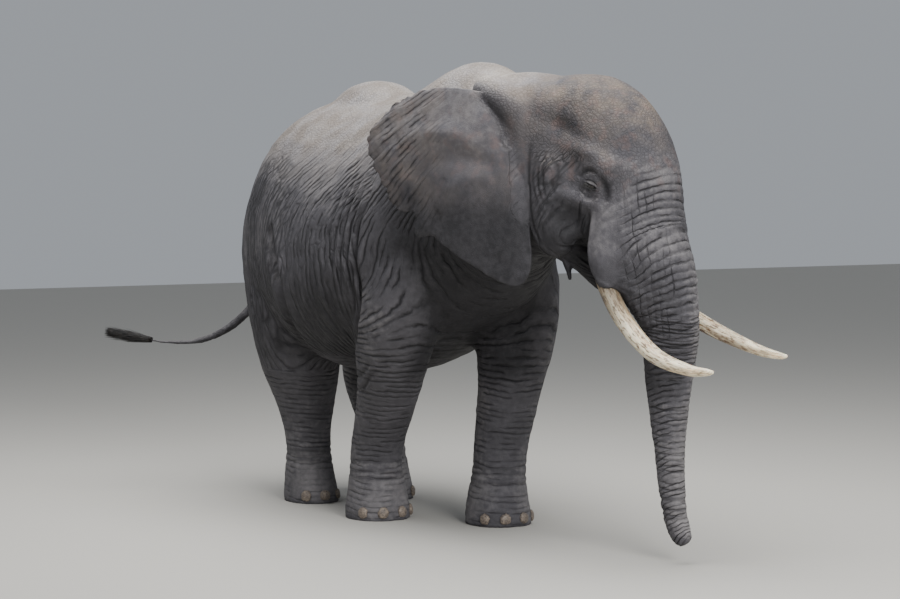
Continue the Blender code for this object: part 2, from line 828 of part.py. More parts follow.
def leg_region(leg, bench):
    """The wedge below a sloping cut from the groin up to the flank, round one leg."""
    foot = line_at(leg.line, 0.0)[0]
    top = line_at(leg.line, 1.10)[0]
    region = box("leg_region", (-1.0, 0.02 * leg.side, -0.20), (1.0, 1.10 * leg.side, LEG_TOP), bench)
    for vert in region.data.vertices:
        ahead = -math.copysign(1.0, vert.co.y)
        if vert.co.z > 0.5:
            vert.co.y = -(top + ahead * LEG_REACH)
            vert.co.z += LEG_SLOPE * (abs(vert.co.x) - 0.02)
        else:
            vert.co.y = -(foot + ahead * FOOT_REACH)
    return region


def foot_region(leg, bench):
    """The box below the ankle of one leg."""
    foot = line_at(leg.line, 0.20)
    low = (foot[0] - 0.45, 0.005 * leg.side, -0.20)
    high = (foot[0] + 0.45, 0.90 * leg.side, ANKLE_HEIGHT)
    return box("foot_region", low, high, bench)


def make_nails(leg, foot, parts, bench):
    """The toenails of a foot, bedded in its front edge."""
    count = leg.toes
    forward, out = line_at(leg.line, NAIL_HEIGHT)
    middle = body_point(forward, out * leg.side, NAIL_HEIGHT)
    for toe in range(count):
        angle = math.radians(NAIL_SPREAD) * (toe - (count - 1) / 2.0) * leg.side
        aim = body_point(math.cos(angle), math.sin(angle), 0.0)
        place, normal = surface_hit(foot, middle + aim * 0.6, -aim)
        normal = Vector((normal.x, normal.y, 0.0)).normalized()
        across = Vector((0, 0, 1)).cross(normal)
        size = 1.0 - 0.10 * abs(toe - (count - 1) / 2.0)
        radii = (0.026, NAIL_WIDTH * 0.5 * size, NAIL_LENGTH * 0.5)
        nail = ellipsoid("%s_nail_%d" % (leg.name, toe + 1), place - normal * 0.012, radii,
                         (normal, across, Vector((0, 0, 1))), parts, 8, 5)
        bed(nail, foot, bench)
        keep_largest(nail)


def make_eye(word, side, head, parts, bench):
    """An eyeball sunk in the side of the head."""
    ahead, aside, up = head_axes()
    ahead_at, aside_at, up_at = EYE_PLACE
    out = aside * side
    place, normal = surface_hit(head, head_point(ahead_at, aside_at * side, up_at) + out * 0.4, -out)
    centre = place - normal * EYE_RADIUS * 0.45
    eye = ellipsoid("eye_" + word, centre, (EYE_RADIUS,) * 3, (ahead, aside, up), parts, 12, 6)
    bed(head, eye, bench)
    return eye


# ---------------------------------------------------------------- materials
def plain(name, colour, roughness):
    """A plain finish."""
    material = bpy.data.materials.new(name)
    material.use_nodes = True
    shader = material.node_tree.nodes["Principled BSDF"]
    shader.inputs["Base Color"].default_value = (*colour, 1.0)
    shader.inputs["Roughness"].default_value = roughness
    shader.inputs["Metallic"].default_value = 0.0
    return material


def dress(parts):
    """Gives each part its finish by its name."""
    hide = plain("hide", (0.085, 0.078, 0.074), 0.82)
    ivory = plain("ivory", (0.56, 0.47, 0.34), 0.42)
    horn = plain("nail horn", (0.20, 0.165, 0.13), 0.55)
    wet = plain("eye", (0.020, 0.012, 0.008), 0.10)
    hair = plain("tail hair", (0.015, 0.014, 0.014), 0.60)
    finishes = (("tusk", ivory), ("nail", horn), ("eye", wet), ("tuft", hair))
    for item in parts.objects:
        finish = next((each for word, each in finishes if word in item.name), hide)
        item.data.materials.clear()
        item.data.materials.append(finish)
        for polygon in item.data.polygons:
            polygon.material_index = 0


def collection_named(name):
    """A new collection in the scene."""
    collection = bpy.data.collections.new(name)
    bpy.context.scene.collection.children.link(collection)
    return collection


def centre_on_floor(parts):
    """Moves the whole animal so that the middle of its box's floor is the origin."""
    corners = [item.matrix_world @ vert.co for item in parts.objects for vert in item.data.vertices]
    shift = Vector((-(min(c.x for c in corners) + max(c.x for c in corners)) / 2.0,
                    -(min(c.y for c in corners) + max(c.y for c in corners)) / 2.0, 0.0))
    for item in parts.objects:
        item.data.transform(Matrix.Translation(shift))
    return shift


def main():
    """Builds the elephant."""
    for item in list(bpy.data.objects):
        bpy.data.objects.remove(item)
    parts = collection_named(BODY_NAME)
    bench = collection_named("bench")
    masses = make_torso(bench) + make_head(bench)
    masses += [make_leg(leg, bench) for leg in LEGS]
    masses.append(tube("tail", tail_rows(TAIL), 14, bench))
    flesh = melt(masses, bench)

    carver = Carver(flesh, parts, bench)
    tail = carver.part_off(flesh, box("tail_region", (-3.3, -0.5, 0.8), (-2.345, 1.6, 2.7), bench),
                           "tail_upper")
    carver.part_off(tail, box("tail_end_region", (-3.3, 0.42, 0.8), (-2.3, 1.6, 1.6), bench), "tail_lower")
    for leg in LEGS:
        limb = carver.part_off(flesh, leg_region(leg, bench), leg.name + "_leg")
        carver.part_off(limb, foot_region(leg, bench), leg.name + "_foot")
    trunk = flesh
    for name, top in zip(("trunk_upper", "trunk_middle", "trunk_lower"), TRUNK_CUTS):
        trunk = carver.part_off(trunk, head_box("trunk_region", (0.40, -0.5, -0.2), (1.6, 0.5, top), bench), name)
    carver.part_off(flesh, head_box("jaw_region", (-0.12, -0.4, 1.55), (0.46, 0.4, 1.90), bench), "jaw")
    carver.part_off(flesh, head_box("head_region", (0.03, -0.9, 1.40), (1.8, 0.9, 3.4), bench), "head")
    carver.part_off(flesh, box("neck_region", (0.62, -0.9, 1.2), (2.2, 1.4, 3.5), bench), "neck")
    keep_largest(flesh)
    bench.objects.unlink(flesh)
    parts.objects.link(flesh)
    for piece in parts.objects:
        carver.finish(piece)
    flesh.name = "torso"

    head = parts.objects["head"]
    for ear in (RIGHT_EAR, LEFT_EAR):
        leaf = make_ear(ear, parts)
        for name in ("head", "neck", "torso"):
            bed(leaf, parts.objects[name], bench)
        keep_largest(leaf)
    for leg in LEGS:
        make_nails(leg, parts.objects[leg.name + "_foot"], parts, bench)
    tuft = tube("tail_tuft", tail_rows(TUFT), 8, parts, steps=2)
    bed(tuft, parts.objects["tail_lower"], bench)
    keep_largest(tuft)
    for word, side in (("right", 1), ("left", -1)):
        make_eye(word, side, head, parts, bench)
    for tusk in TUSKS:
        ivory = tube("tusk_" + tusk.word, tusk_rows(tusk), 10, parts, steps=2)
        for name in ("head", "trunk_upper"):
            keep_largest(bed(parts.objects[name], ivory, bench))
    centre_on_floor(parts)
    dress(parts)
    for item in list(bench.objects):
        remove(item)


main()
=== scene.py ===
"""Looks of a life-size African bush elephant: hide, ears, eyes, tusks, nails and hair.

The elephant faces -Y with its right side towards -X, and stands on z = 0. Places on the body are
(forward, right, up) from the middle of the shoulders; places on the head are (ahead, aside, up)
from the nape, in a frame that turns with the head. Lengths are in metres.
"""

import functools
import itertools
import logging
import math
from dataclasses import dataclass, field
from enum import Enum
from typing import Sequence

import bmesh
import bpy
import numpy as np
from mathutils import Matrix, Vector

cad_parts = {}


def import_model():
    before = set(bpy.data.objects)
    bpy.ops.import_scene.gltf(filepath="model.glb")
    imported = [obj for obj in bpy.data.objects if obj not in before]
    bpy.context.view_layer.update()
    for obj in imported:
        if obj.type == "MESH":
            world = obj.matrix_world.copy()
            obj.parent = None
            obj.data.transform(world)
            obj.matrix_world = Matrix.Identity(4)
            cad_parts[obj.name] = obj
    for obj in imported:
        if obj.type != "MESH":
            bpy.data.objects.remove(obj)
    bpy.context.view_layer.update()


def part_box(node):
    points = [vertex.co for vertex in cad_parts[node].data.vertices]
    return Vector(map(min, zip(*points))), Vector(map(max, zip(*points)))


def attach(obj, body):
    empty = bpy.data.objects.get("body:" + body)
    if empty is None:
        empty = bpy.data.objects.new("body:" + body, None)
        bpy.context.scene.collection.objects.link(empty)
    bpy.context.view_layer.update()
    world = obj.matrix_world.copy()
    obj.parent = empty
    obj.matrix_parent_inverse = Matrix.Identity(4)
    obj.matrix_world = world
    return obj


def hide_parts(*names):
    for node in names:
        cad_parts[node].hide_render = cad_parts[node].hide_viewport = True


LOG = logging.getLogger("elephant")

SHOULDERS = (0.1611, -0.2035)
NAPE_FORWARD = 1.24
HEAD_YAW = math.radians(23.0)
ROOT = "root"
LIP_PLACE = 1.9  # middle of a fold's lip, in widths from the fold's bottom
# painted shade: a fold this deep gets the darkest painted shade that a fold can get
FULL_SHADE = 0.012  # a fold this deep is as dark as a fold can be
LEAST_WEIGHT = 0.02  # a relief is not worked out where it counts for less than this

Array = np.ndarray
Material = bpy.types.Material
Mesh = bpy.types.Mesh
Object = bpy.types.Object
Socket = bpy.types.NodeSocket
Triple = tuple[float, float, float]


# ---------------------------------------------------------------- frames
def stack(*columns: object) -> Array:
    """An array with these columns; a plain number fills the whole of its column."""
    return np.column_stack(np.broadcast_arrays(*columns))


def from_body(points: Array) -> Array:
    """World places of an (n, 3) array of (forward, right, up) body places."""
    points = np.atleast_2d(points)
    return stack(SHOULDERS[0] - points[:, 1], SHOULDERS[1] - points[:, 0], points[:, 2])


def to_body(points: Array) -> Array:
    """Body places (forward, right, up) of an (n, 3) array of world places."""
    return stack(SHOULDERS[1] - points[:, 1], SHOULDERS[0] - points[:, 0], points[:, 2])


def from_head(points: Array) -> Array:
    """World places of (ahead, aside, up) head places.

    Args:
        points: An (n, 3) array of head places.
    Returns:
        An (n, 3) array of world places.
    """
    points = np.atleast_2d(points)
    cos, sin = math.cos(HEAD_YAW), math.sin(HEAD_YAW)
    forward = NAPE_FORWARD + points[:, 0] * cos + points[:, 1] * sin
    right = -points[:, 0] * sin + points[:, 1] * cos
    return from_body(stack(forward, right, points[:, 2]))


def to_head(points: Array) -> Array:
    """Head places (ahead, aside, up) of world places.

    Args:
        points: An (n, 3) array of world places.
    Returns:
        An (n, 3) array of head places.
    """
    body = to_body(points)
    cos, sin = math.cos(HEAD_YAW), math.sin(HEAD_YAW)
    forward = body[:, 0] - NAPE_FORWARD
    return stack(forward * cos - body[:, 1] * sin, forward * sin + body[:, 1] * cos, body[:, 2])


def step(value: Array, low: float, high: float) -> Array:
    """A smooth rise from 0 at one value to 1 at another, which may be the lower one."""
    share = np.clip((value - low) / (high - low), 0.0, 1.0)
    return share * share * (3.0 - 2.0 * share)


def unit(vectors: Array) -> Array:
    """The same vectors, each with a length of one."""
    return vectors / np.linalg.norm(vectors, axis=-1, keepdims=True)


def run_of(line: Array) -> Array:
    """How far along a line each of its places lies."""
    return np.concatenate(([0.0], np.cumsum(np.linalg.norm(np.diff(line, axis=0), axis=1))))


def curve(rows: Sequence[Sequence[float]], steps: int, closed: bool = False) -> Array:
    """Rows of numbers joined by a Catmull-Rom curve.

    Args:
        rows: The rows that the curve passes through.
        steps: Steps between one row and the next.
        closed: Whether the last row joins the first.
    Returns:
        The rows along the curve.
    """
    rows = np.array(rows, float)
    count = len(rows)
    result = []
    for span in range(count if closed else count - 1):
        picks = [span + shift for shift in (-1, 0, 1, 2)]
        picks = [pick % count if closed else min(max(pick, 0), count - 1) for pick in picks]
        a, b, c, d = rows[picks]
        for share in np.arange(steps) / steps:
            bend = (2.0 * a - 5.0 * b + 4.0 * c - d) * share ** 2
            twist = (3.0 * b - a - 3.0 * c + d) * share ** 3
            result.append(0.5 * (2.0 * b + (c - a) * share + bend + twist))
    if not closed:
        result.append(rows[-1])
    return np.array(result)


# ---------------------------------------------------------------- noise
class Grain:
    """Repeatable noise on arrays of places, for wrinkles and pebbles."""

    def __init__(self, seed: int) -> None:
        """Draws the tables of one pattern.

        Args:
            seed: Which pattern to draw.
        """
        draw = np.random.default_rng(seed)
        self.table = draw.permutation(256)
        self.slopes = unit(draw.normal(size=(256, 3)))
        self.spots = draw.random((256, 3))

    def keys(self, cells: Array) -> Array:
        """A table place for each cell of a grid."""
        first = self.table[cells[:, 0] & 255]
        second = self.table[(first + cells[:, 1]) & 255]
        return self.table[(second + cells[:, 2]) & 255]

    def smooth(self, points: Array) -> Array:
        """Soft noise from about -1 to 1.

        Args:
            points: An (n, 3) array of places, in cells.
        Returns:
            A value for each place.
        """
        cells = np.floor(points).astype(np.int64)
        part = points - cells
        fade = part ** 3 * (part * (part * 6.0 - 15.0) + 10.0)
        total = np.zeros(len(points))
        for corner in itertools.product((0, 1), repeat=3):
            corner = np.array(corner)
            slope = self.slopes[self.keys(cells + corner)]
            share = np.prod(np.where(corner == 1, fade, 1.0 - fade), axis=1)
            total += ((part - corner) * slope).sum(axis=1) * share
        return total * 1.6

    def plates(self, points: Array) -> Array:
        """How far each place is inside its cell of a broken pavement: 0 on a crack, up to about 1.

        Args:
            points: An (n, 3) array of places, in cells.
        Returns:
            A value for each place.
        """
        cells = np.floor(points).astype(np.int64)
        part = points - cells
        near = np.full(len(points), 9.0)
        second = near.copy()
        for shift in itertools.product((-1, 0, 1), repeat=3):
            shift = np.array(shift)
            away = shift + self.spots[self.keys(cells + shift)] - part
            gap = np.sqrt((away ** 2).sum(axis=1))
            second = np.minimum(second, np.maximum(near, gap))
            near = np.minimum(near, gap)
        return second - near


def valley(value: Array, width: float) -> Array:
    """A groove where a signed value crosses zero: 1 in its bottom, 0 away from it."""
    return np.exp(-(value / width) ** 2)


def fold_profile(gap: Array, width: float, lip: float) -> Array:
    """How deep a fold is at a distance from its bottom: 1 in the middle, and below 0 on its lips."""
    return valley(gap, width) - valley(gap - width * LIP_PLACE, width) * lip


def taper(share: Array) -> Array:
    """Full strength along a line that fades out at both ends, where the share is 0 or 1."""
    return np.sqrt(np.clip(np.sin(share * math.pi), 0.0, 1.0))


def leaning(ahead: Array, rise: Array, degrees: Array) -> tuple[Array, Array]:
    """Distances along and across lines that lean up from level by some degrees."""
    lean = np.radians(degrees)
    return ahead * np.cos(lean) + rise * np.sin(lean), rise * np.cos(lean) - ahead * np.sin(lean)


def flank_axes(forward: Array, up: Array) -> tuple[Array, Array]:
    """Distances along and across the flank's creases, which bend back towards the spine."""
    return leaning(forward + 0.9, up - 2.2, 90.0 - 46.0 * step(up, 1.75, 2.6))


def arm_axes(forward: Array, up: Array) -> tuple[Array, Array]:
    """Distances along and across a foreleg's creases, level below and steep at the shoulder."""
    return leaning(forward + 0.1, up - 1.4, -6.0 + 58.0 * step(up, 0.95, 2.15))


def cheek_bow(ahead: Array, up: Array) -> Array:
    """Distance ahead, bent so that the cheek's creases curve round the gland behind the eye."""
    return ahead + 0.07 * (1.0 - ((up - 2.42) / 0.16) ** 2).clip(-1.0)


# ---------------------------------------------------------------- mesh tools
def points_of(mesh: Mesh) -> Array:
    """The places of a mesh's vertices as an (n, 3) array."""
    flat = np.empty(len(mesh.vertices) * 3)
    mesh.vertices.foreach_get("co", flat)
    return flat.reshape(-1, 3)


def normals_of(mesh: Mesh) -> Array:
    """The normals of a mesh's vertices as an (n, 3) array."""
    flat = np.empty(len(mesh.vertices) * 3)
    mesh.vertices.foreach_get("normal", flat)
    return flat.reshape(-1, 3)


def place_points(mesh: Mesh, points: Array) -> None:
    """Moves a mesh's vertices to new places."""
    mesh.vertices.foreach_set("co", np.asarray(points, np.float32).ravel())
    mesh.update()


def write_value(mesh: Mesh, name: str, values: Array) -> None:
    """Stores one number a vertex as a named attribute."""
    layer = mesh.attributes.get(name) or mesh.attributes.new(name, "FLOAT", "POINT")
    layer.data.foreach_set("value", np.asarray(values, np.float32))


def write_values(mesh: Mesh, **layers: Array) -> None:
    """Stores several sets of numbers by the names of their attributes, held between 0 and 1."""
    for name, values in layers.items():
        write_value(mesh, name, np.clip(values, 0.0, 1.0))


def write_vector(mesh: Mesh, name: str, vectors: Array) -> None:
    """Stores a vector on every point of a mesh."""
    layer = mesh.attributes.get(name) or mesh.attributes.new(name, "FLOAT_VECTOR", "POINT")
    layer.data.foreach_set("vector", np.ascontiguousarray(vectors, dtype=np.float32).ravel())


def read_value(mesh: Mesh, name: str) -> Array:
    """Reads one number a vertex from a named attribute."""
    values = np.empty(len(mesh.vertices), np.float32)
    mesh.attributes[name].data.foreach_get("value", values)
    return values.astype(float)


def new_object(name: str, data: bpy.types.ID) -> Object:
    """Puts a mesh, light or camera into the scene as an object."""
    item = bpy.data.objects.new(name, data)
    bpy.context.scene.collection.objects.link(item)
    return item


def pick(item: Object) -> None:
    """Makes an object the only selected and the active one."""
    bpy.ops.object.select_all(action="DESELECT")
    item.select_set(True)
    bpy.context.view_layer.objects.active = item


def apply(item: Object, kind: str, **settings: object) -> None:
    """Adds a modifier with its settings and applies it.

    Args:
        item: The object to change.
        kind: The modifier's type.
        settings: Values of the modifier's properties.
    """
    pick(item)
    modifier = item.modifiers.new(kind.lower(), kind)
    for name, value in settings.items():
        setattr(modifier, name, value)
    bpy.ops.object.modifier_apply(modifier=modifier.name)


def nodes_as_mesh(names: Sequence[str], label: str) -> Object:
    """A welded copy of some CAD nodes, as one object.

    Args:
        names: The nodes to copy.
        label: The new object's name.
    Returns:
        The new object.
    """
    whole = bmesh.new()
    for name in names:
        single = bmesh.new()
        single.from_mesh(bpy.data.objects[name].data)
        bmesh.ops.remove_doubles(single, verts=single.verts, dist=0.00001)
        welded = bpy.data.meshes.new("welded")
        single.to_mesh(welded)
        single.free()
        whole.from_mesh(welded)
        bpy.data.meshes.remove(welded)
    mesh = bpy.data.meshes.new(label)
    whole.to_mesh(mesh)
    whole.free()
    return new_object(label, mesh)


def face_out(item: Object) -> None:
    """Turns every face of a closed mesh outwards."""
    pick(item)
    bpy.ops.object.mode_set(mode="EDIT")
    bpy.ops.mesh.select_all(action="SELECT")
    bpy.ops.mesh.normals_make_consistent(inside=False)
    bpy.ops.object.mode_set(mode="OBJECT")


def ease_group(item: Object, weights: Array, rounds: int) -> None:
    """Smooths an object's mesh in some rounds, as much as the weights say.

    Args:
        item: The object to ease.
        weights: How much each vertex takes part, 0 to 1.
        rounds: How many times the mesh is smoothed.
    """
    grade_group(item, "ease", weights)
    apply(item, "SMOOTH", factor=0.5, iterations=rounds, vertex_group="ease")
    item.vertex_groups.clear()


def grade_group(item: Object, name: str, weights: Array) -> None:
    """Gives an object a vertex group from an array of weights, in ten grades."""
    group = item.vertex_groups.new(name=name)
    grades = np.round(np.clip(weights, 0.0, 1.0) * 10.0).astype(int)
    for grade in range(1, 11):
        group.add(np.nonzero(grades == grade)[0].tolist(), grade / 10.0, "REPLACE")


def shade_smooth(mesh: Mesh) -> None:
    """Shades every face of a mesh smooth."""
    mesh.polygons.foreach_set("use_smooth", np.ones(len(mesh.polygons), bool))


# ---------------------------------------------------------------- finishes
def dress(item: Object, finish: Material) -> None:
    """Gives the whole piece one material."""
    item.data.materials.clear()
    item.data.polygons.foreach_set("material_index", np.zeros(len(item.data.polygons), dtype=np.int32))
    item.data.materials.append(finish)


def linear(code: str) -> tuple[float, float, float, float]:
    """A linear colour from an sRGB hex code."""
    parts = [int(code[at:at + 2], 16) / 255.0 for at in (1, 3, 5)]
    light = [part / 12.92 if part <= 0.04045 else ((part + 0.055) / 1.055) ** 2.4 for part in parts]
    return (*light, 1.0)


class Finish:
    """A material with an empty tree round one Principled shader."""

    def __init__(self, name: str, roughness: float, ior: float, specular: float = 0.5) -> None:
        """Makes the material.

        Args:
            name: What the real surface is.
            roughness: Plain roughness.
            ior: Index of refraction.
            specular: Specular level.
        """
        self.material = bpy.data.materials.new(name)
        self.material.use_nodes = True
        self.tree = self.material.node_tree
        self.shader = self.tree.nodes["Principled BSDF"]
        self.shader.inputs["Roughness"].default_value = roughness
        self.shader.inputs["IOR"].default_value = ior
        self.shader.inputs["Specular IOR Level"].default_value = specular
        self.place = self.add("TexCoord", out="Object")

    def add(self, kind: str, inputs: dict | None = None, out: object = 0, **settings: object) -> Socket:
        """Adds a node with its settings, values and links.

        Args:
            kind: The node's type, without the ShaderNode in front.
            inputs: What each input gets, by its name or number: a socket is linked to it, and a
                number, vector or hex code is set.
            out: The name or number of the output that is wanted.
            settings: Properties of the node itself.
        Returns:
            That output.
        """
        node = self.tree.nodes.new("ShaderNode" + kind)
        for name, value in settings.items():
            setattr(node, name, value)
        for key, value in (inputs or {}).items():
            if isinstance(value, Socket):
                self.tree.links.new(value, node.inputs[key])
            else:
                node.inputs[key].default_value = linear(value) if isinstance(value, str) else value
        return node.outputs[out]

    def warp(self, place: Socket, size_mm: float, amount: float) -> Socket:
        """Sways a place by soft noise.

        Args:
            place: The place to sway.
            size_mm: The size of the swaying in millimetres.
            amount: How far it goes.
        Returns:
            The new place.
        """
        cloud = self.add("TexNoise", {"Vector": self.place, "Scale": 1000.0 / size_mm, "Detail": 2.0},
                         "Color")
        centred = self.add("VectorMath", {0: cloud, 1: (0.5, 0.5, 0.5)}, operation="SUBTRACT")
        moved = self.add("VectorMath", {0: centred, 1: (amount,) * 3}, operation="MULTIPLY")
        return self.add("VectorMath", {0: place, 1: moved}, operation="ADD")

    def furrows(self, place: Socket, part: str, low: float, high: float) -> Socket:
        """Lines where a coordinate is whole: 1 on the line, 0 beyond a share of the way to the next.

        Args:
            place: The vector whose coordinate is read.
            part: The coordinate, X or Y.
            low: Distance from the line, in units, that is still all line.
            high: Distance at which the line has ended.
        Returns:
            The strength of the lines.
        """
        gap = self.add("Math", {0: self.add("SeparateXYZ", {0: place}, part), 1: 0.5}, operation="PINGPONG")
        return self.add("MapRange", {"Value": gap, "From Min": low, "From Max": high, "To Min": 1.0,
                                     "To Max": 0.0})

    def broken(self, place: Socket, scale: Triple, low: float, high: float) -> Socket:
        """A soft strength that comes and goes.

        Args:
            place: A place given in plates.
            scale: How fast the strength changes along each axis.
            low: The noise at which the strength is 0.
            high: The noise at which it is 1.
        Returns:
            The strength.
        """
        scaled = self.add("VectorMath", {0: place, 1: scale}, operation="MULTIPLY")
        cloud = self.add("TexNoise", {"Vector": scaled, "Scale": 1.0, "Detail": 1.0}, "Fac")
        return self.add("MapRange", {"Value": cloud, "From Min": low, "From Max": high})

    def blotches(self, size_mm: float, low: float, high: float, to_low: float = 0.0, to_high: float = 1.0,
                 detail: float = 3.0, place: Socket | None = None) -> Socket:
        """Soft blotches of noise.

        Args:
            size_mm: Their size in millimetres.
            low: The noise at which they start.
            high: The noise at which they are full.
            to_low: The value where there is none.
            to_high: The value where they are full.
            detail: How finely broken they are.
            place: Where they lie, if not on the object itself.
        Returns:
            The value.
        """
        cloud = self.add("TexNoise", {"Vector": place or self.place, "Scale": 1000.0 / size_mm,
                                      "Detail": detail, "Roughness": 0.55}, "Fac")
        return self.add("MapRange", {"Value": cloud, "From Min": low, "From Max": high, "To Min": to_low,
                                     "To Max": to_high})

    def all_of(self, *shares: object) -> Socket:
        """How far several shares hold at once: their product."""
        return functools.reduce(lambda a, b: self.add("Math", {0: a, 1: b}, operation="MULTIPLY"), shares)

    def any_of(self, *shares: object) -> Socket:
        """How far any one of several shares holds: the largest of them."""
        return functools.reduce(lambda a, b: self.add("Math", {0: a, 1: b}, operation="MAXIMUM"), shares)

    def cover(self, colour: object, *coats: tuple[Socket, object]) -> Socket:
        """Lays coats of colour over a first colour.

        Args:
            colour: The first colour.
            coats: The share and the colour of each coat.
        Returns:
            The colour with its coats.
        """
        for share, coat in coats:
            colour = self.add("Mix", {0: share, 6: colour, 7: coat}, 2, data_type="RGBA")
        return colour

    def finish(self, colour: Socket, normal: Socket | None = None,
               roughness: Socket | None = None) -> Material:
        """Links what the shader shows.

        Args:
            colour: The colour.
            normal: The normal, if it is bumped.
            roughness: The roughness, if it varies.
        Returns:
            The finished material.
        """
        for name, socket in (("Base Color", colour), ("Normal", normal), ("Roughness", roughness)):
            if socket is not None:
                self.tree.links.new(socket, self.shader.inputs[name])
        return self.material


def net_line(hide: Finish, flow: Socket, net: Socket) -> Socket:
    """Cracks of a fine net of plates, wider and unbroken where the net is strongest.

    Args:
        hide: The material.
        flow: Plate numbers along and across the creases.
        net: How strong the net is.
    Returns:
        The strength of the cracks.
    """
    grid = hide.warp(hide.add("VectorMath", {0: flow, 1: (0.9, 1.3, 1.3)}, operation="MULTIPLY"), 150.0, 0.8)
    cracks = hide.add("TexVoronoi", {"Vector": grid, "Scale": 1.0}, "Distance", feature="DISTANCE_TO_EDGE")
    wide = hide.add("MapRange", {"Value": net, "From Min": 0.35, "To Min": 1.05, "To Max": 0.6})
    line = hide.add("MapRange", {"Value": hide.all_of(cracks, wide), "From Min": 0.02, "From Max": 0.17,
                                 "To Min": 1.0, "To Max": 0.0})
    solid = hide.add("MapRange", {"Value": net, "From Min": 0.82})
    return hide.all_of(line, hide.any_of(hide.broken(flow, (0.3, 0.5, 0.5), 0.3, 0.52), solid))


def trunk_line(hide: Finish) -> Socket:
    """The trunk's rings, crossed by lengthwise lines near its base.

    Args:
        hide: The material.
    Returns:
        The strength of the lines.
    """
    lanes, trunk = (hide.add("Attribute", out="Fac", attribute_name=name) for name in ("lanes", "trunk"))
    flow = hide.add("Attribute", out="Vector", attribute_name="trunk_flow")
    grid = hide.warp(hide.warp(flow, 240.0, 0.9), 80.0, 0.5)
    ring = hide.all_of(hide.furrows(grid, "X", 0.01, 0.16), hide.broken(grid, (1.1, 0.35, 1.0), 0.34, 0.6))
    lane = hide.all_of(hide.furrows(grid, "Y", 0.01, 0.12), hide.broken(grid, (0.3, 0.8, 1.0), 0.42, 0.78),
                       lanes)
    return hide.all_of(hide.any_of(ring, lane), trunk)


